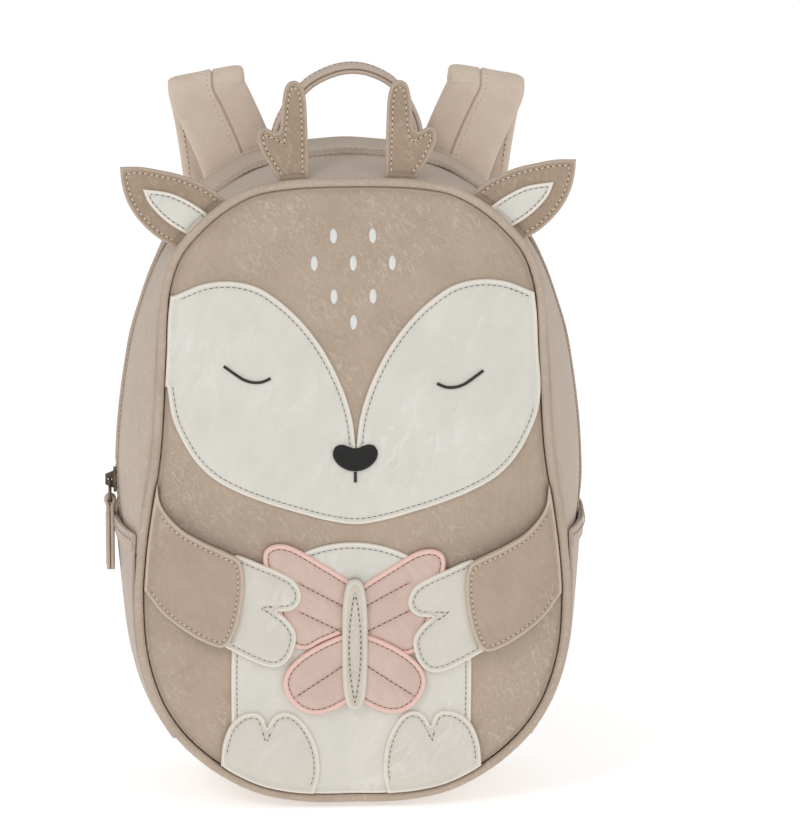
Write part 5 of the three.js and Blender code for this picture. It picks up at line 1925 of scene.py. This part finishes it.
@dataclass
class ZipPull:
    """Slider, ring and a doubled leather tab."""

    bag: Bag
    axis: tuple[float, float, float] = (-114.8003, 0, 151.1265)
    ring_width: float = 12
    ring_length: float = 10
    wire: float = 1.5
    tab_length: float = 36
    tab_width: float = 13
    tab_thickness: float = 4.2
    tab_seam: float = 2
    loop_gap: float = 0.2
    closing: float = 3.0

    def build(self) -> None:
        """Makes the ring and the tab, and finishes the slider."""
        carry_over("zip_slider", self.bag.finishes.brass, 0.3)
        self.ring()
        self.tab()

    def ring(self) -> None:
        """A wire ring: a torus whose halves are drawn apart."""
        x, y, z = self.axis
        bend = 2.0
        bpy.ops.object.select_all(action="DESELECT")
        bpy.ops.mesh.primitive_torus_add(
            major_radius=bend * MM, minor_radius=self.wire / 2 * MM, major_segments=32, minor_segments=12,
            location=(0, 0, 0),
        )
        piece = bpy.context.active_object
        piece.name = piece.data.name = "ring_wire"
        half = self.ring_width / 2 - self.wire / 2 - bend
        for vert in piece.data.vertices:
            flat = Vector((vert.co.x, vert.co.y))
            down = self.ring_length - bend if flat.y < 0 else bend
            vert.co = Vector(
                (
                    x * MM + vert.co.z,
                    (math.copysign(half, flat.x) + y) * MM + flat.x,
                    (z - down) * MM + flat.y,
                )
            )
        piece.data.update()
        piece.data.shade_smooth()
        turn_outwards(piece)
        dress(piece, self.bag.finishes.brass, Slot.BRASS, ["pull_ring"], Body.PULL)

    def tab(self) -> None:
        """Leather that goes down one side of the ring's lower bar and up the other."""
        x, y, z = self.axis
        layer = self.tab_thickness / 2 - 0.12
        loop = self.wire / 2 + self.loop_gap + layer / 2
        bar = z - self.ring_length
        end = bar + self.tab_thickness / 2 - self.tab_length

        def off(height: float) -> float:
            """How far a layer's middle is from the middle of the tab."""
            share = min(1.0, max(0.0, (bar - height) / self.closing))
            closed = layer / 2
            return closed + (loop - closed) * (1 - share) ** 2

        heights = [end + i * (bar - end) / 24 for i in range(24)]
        path = [Vector((x - off(h), y, h)) for h in heights]
        path += [
            Vector((x - loop * math.cos(a), y, bar + loop * math.sin(a)))
            for a in (math.pi * k / 12 for k in range(13))
        ]
        path += [Vector((x + off(h), y, h)) for h in reversed(heights)]
        rows = band_rows(path, [Vector((0, 1, 0))] * len(path))
        neck = self.ring_width / 2 - self.wire - 0.7

        def section(share: float) -> list[tuple[float, float]]:
            """A layer, narrow at the ring and rounded at the lower end."""
            point = rows[min(len(rows) - 1, round(share * (len(rows) - 1)))].point
            wide = self.tab_width / 2
            if point.z > bar - 4.5:
                wide = neck + (wide - neck) * max(0, min(1, (bar - 1.5 - point.z) / 3))
            low = point.z - end
            if low < 4:
                wide -= 4 - math.sqrt(max(0, 16 - (4 - low) ** 2))
            return oval(2 * wide, layer, 16, 5)

        piece = band("tab_leather", rows, section)
        dress(piece, self.bag.finishes.smooth, Slot.TAN, ["pull_tab"], Body.PULL)
        line = []
        for share_y, from_z, to_z in ((-1, bar - 6, end + 3), (1, end + 3, bar - 6)):
            across = share_y * (self.tab_width / 2 - self.tab_seam)
            for k in range(9):
                height = from_z + (to_z - from_z) * k / 8
                place = Vector((x - off(height) - layer / 2 - 0.02, across, height))
                line.append((place, Vector((-1, 0, 0))))
        self.bag.needle.sew([line], self.bag.finishes.tan_seam, Slot.TAN, Body.PULL)


# Camera, floor and light


@dataclass
class Studio:
    """A pale floor, soft light and the camera of the photograph."""

    aim: tuple[float, float, float] = (0, -46, 151.2)
    distance: float = 2200
    azimuth: float = -2.5
    elevation: float = 12
    lens: float = 210
    right: float = 22.16
    rise: float = 37.24
    around: float = 0.72
    overhead: float = 0.62
    glow: float = 0.42
    lamps: tuple = (
        ("key", (-1.5, -2.3, 2.3), 0.9, 20),
        ("fill", (1.9, -2.2, 1.6), 1.6, 8),
    )

    def build(self) -> None:
        """Sets up the studio."""
        self.camera()
        self.floor()
        self.lights()

    def camera(self) -> None:
        """Places the camera where the photograph was taken."""
        a, e = math.radians(self.azimuth), math.radians(self.elevation)
        back = Vector((math.sin(a) * math.cos(e), -math.cos(a) * math.cos(e), math.sin(e)))
        across = Vector((math.cos(a), math.sin(a), 0))
        over = back.cross(across) * -1
        if over.z < 0:
            over = -over
        aim = Vector(self.aim)
        place = aim + back * self.distance
        goal = aim + across * self.right + over * self.rise
        data = bpy.data.cameras.new("camera")
        data.lens = self.lens
        data.sensor_width = 36
        data.sensor_fit = "HORIZONTAL"
        data.clip_end = 30
        camera = bpy.data.objects.new("camera", data)
        camera.location = place * MM
        camera.rotation_euler = (goal - place).to_track_quat("-Z", "Y").to_euler()
        bpy.context.scene.collection.objects.link(camera)
        bpy.context.scene.camera = camera

    def floor(self) -> None:
        """A wide white floor."""
        bpy.ops.object.select_all(action="DESELECT")
        bpy.ops.mesh.primitive_plane_add(size=14, location=(0, 0, -0.0004))
        floor = bpy.context.active_object
        floor.name = "floor"
        graph = Graph("floor_white")
        graph.finish((0.9, 0.9, 0.9), 0.9, Emission_Color=(1, 1, 1), Emission_Strength=self.glow)
        floor.data.materials.append(graph.material)

    def lights(self) -> None:
        """Soft light from the front, and a white surrounding that is dimmer overhead."""
        world = bpy.data.worlds.new("studio")
        bpy.context.scene.world = world
        world.use_nodes = True
        tree = world.node_tree
        place = tree.nodes.new("ShaderNodeTexCoord")
        split = tree.nodes.new("ShaderNodeSeparateXYZ")
        fade = tree.nodes.new("ShaderNodeMapRange")
        tree.links.new(place.outputs["Generated"], split.inputs[0])
        tree.links.new(split.outputs["Z"], fade.inputs["Value"])
        fade.inputs["To Min"].default_value = self.around
        fade.inputs["To Max"].default_value = self.overhead
        tree.links.new(fade.outputs[0], tree.nodes["Background"].inputs["Strength"])
        tree.nodes["Background"].inputs["Color"].default_value = (1, 1, 1, 1)
        for name, where, size, power in self.lamps:
            data = bpy.data.lights.new(name, "AREA")
            data.energy = power
            data.size = size
            light = bpy.data.objects.new(name, data)
            light.location = where
            towards = Vector((0, 0, 0.16)) - Vector(where)
            light.rotation_euler = towards.to_track_quat("-Z", "Y").to_euler()
            bpy.context.scene.collection.objects.link(light)
        bpy.context.scene.view_settings.view_transform = "Standard"


def main() -> None:
    """Loads the frame, sets up the studio and builds every sub-assembly."""
    logging.basicConfig(level=logging.INFO, format="%(message)s")
    FRAME.update(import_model())
    Studio().build()
    finishes = Finishes()
    front = Dome("front_panel", -0.35, FRONT_Y, -11.0)
    back = Dome("back_panel", 0.35, BACK_Y + 3, 6.0)
    bag = Bag(finishes, Needle(), front, back)
    Shell(bag).build()
    for side in Side:
        Pocket(bag, side).build()
    Head(bag).build()
    Face(bag).build()
    Limbs(bag).build()
    Butterfly(bag).build()
    Handle(bag).build()
    for side in Side:
        Strap(bag, side).build()
    ZipPull(bag).build()
    bag.needle.cast_off()


if __name__ == "__main__":
    main()
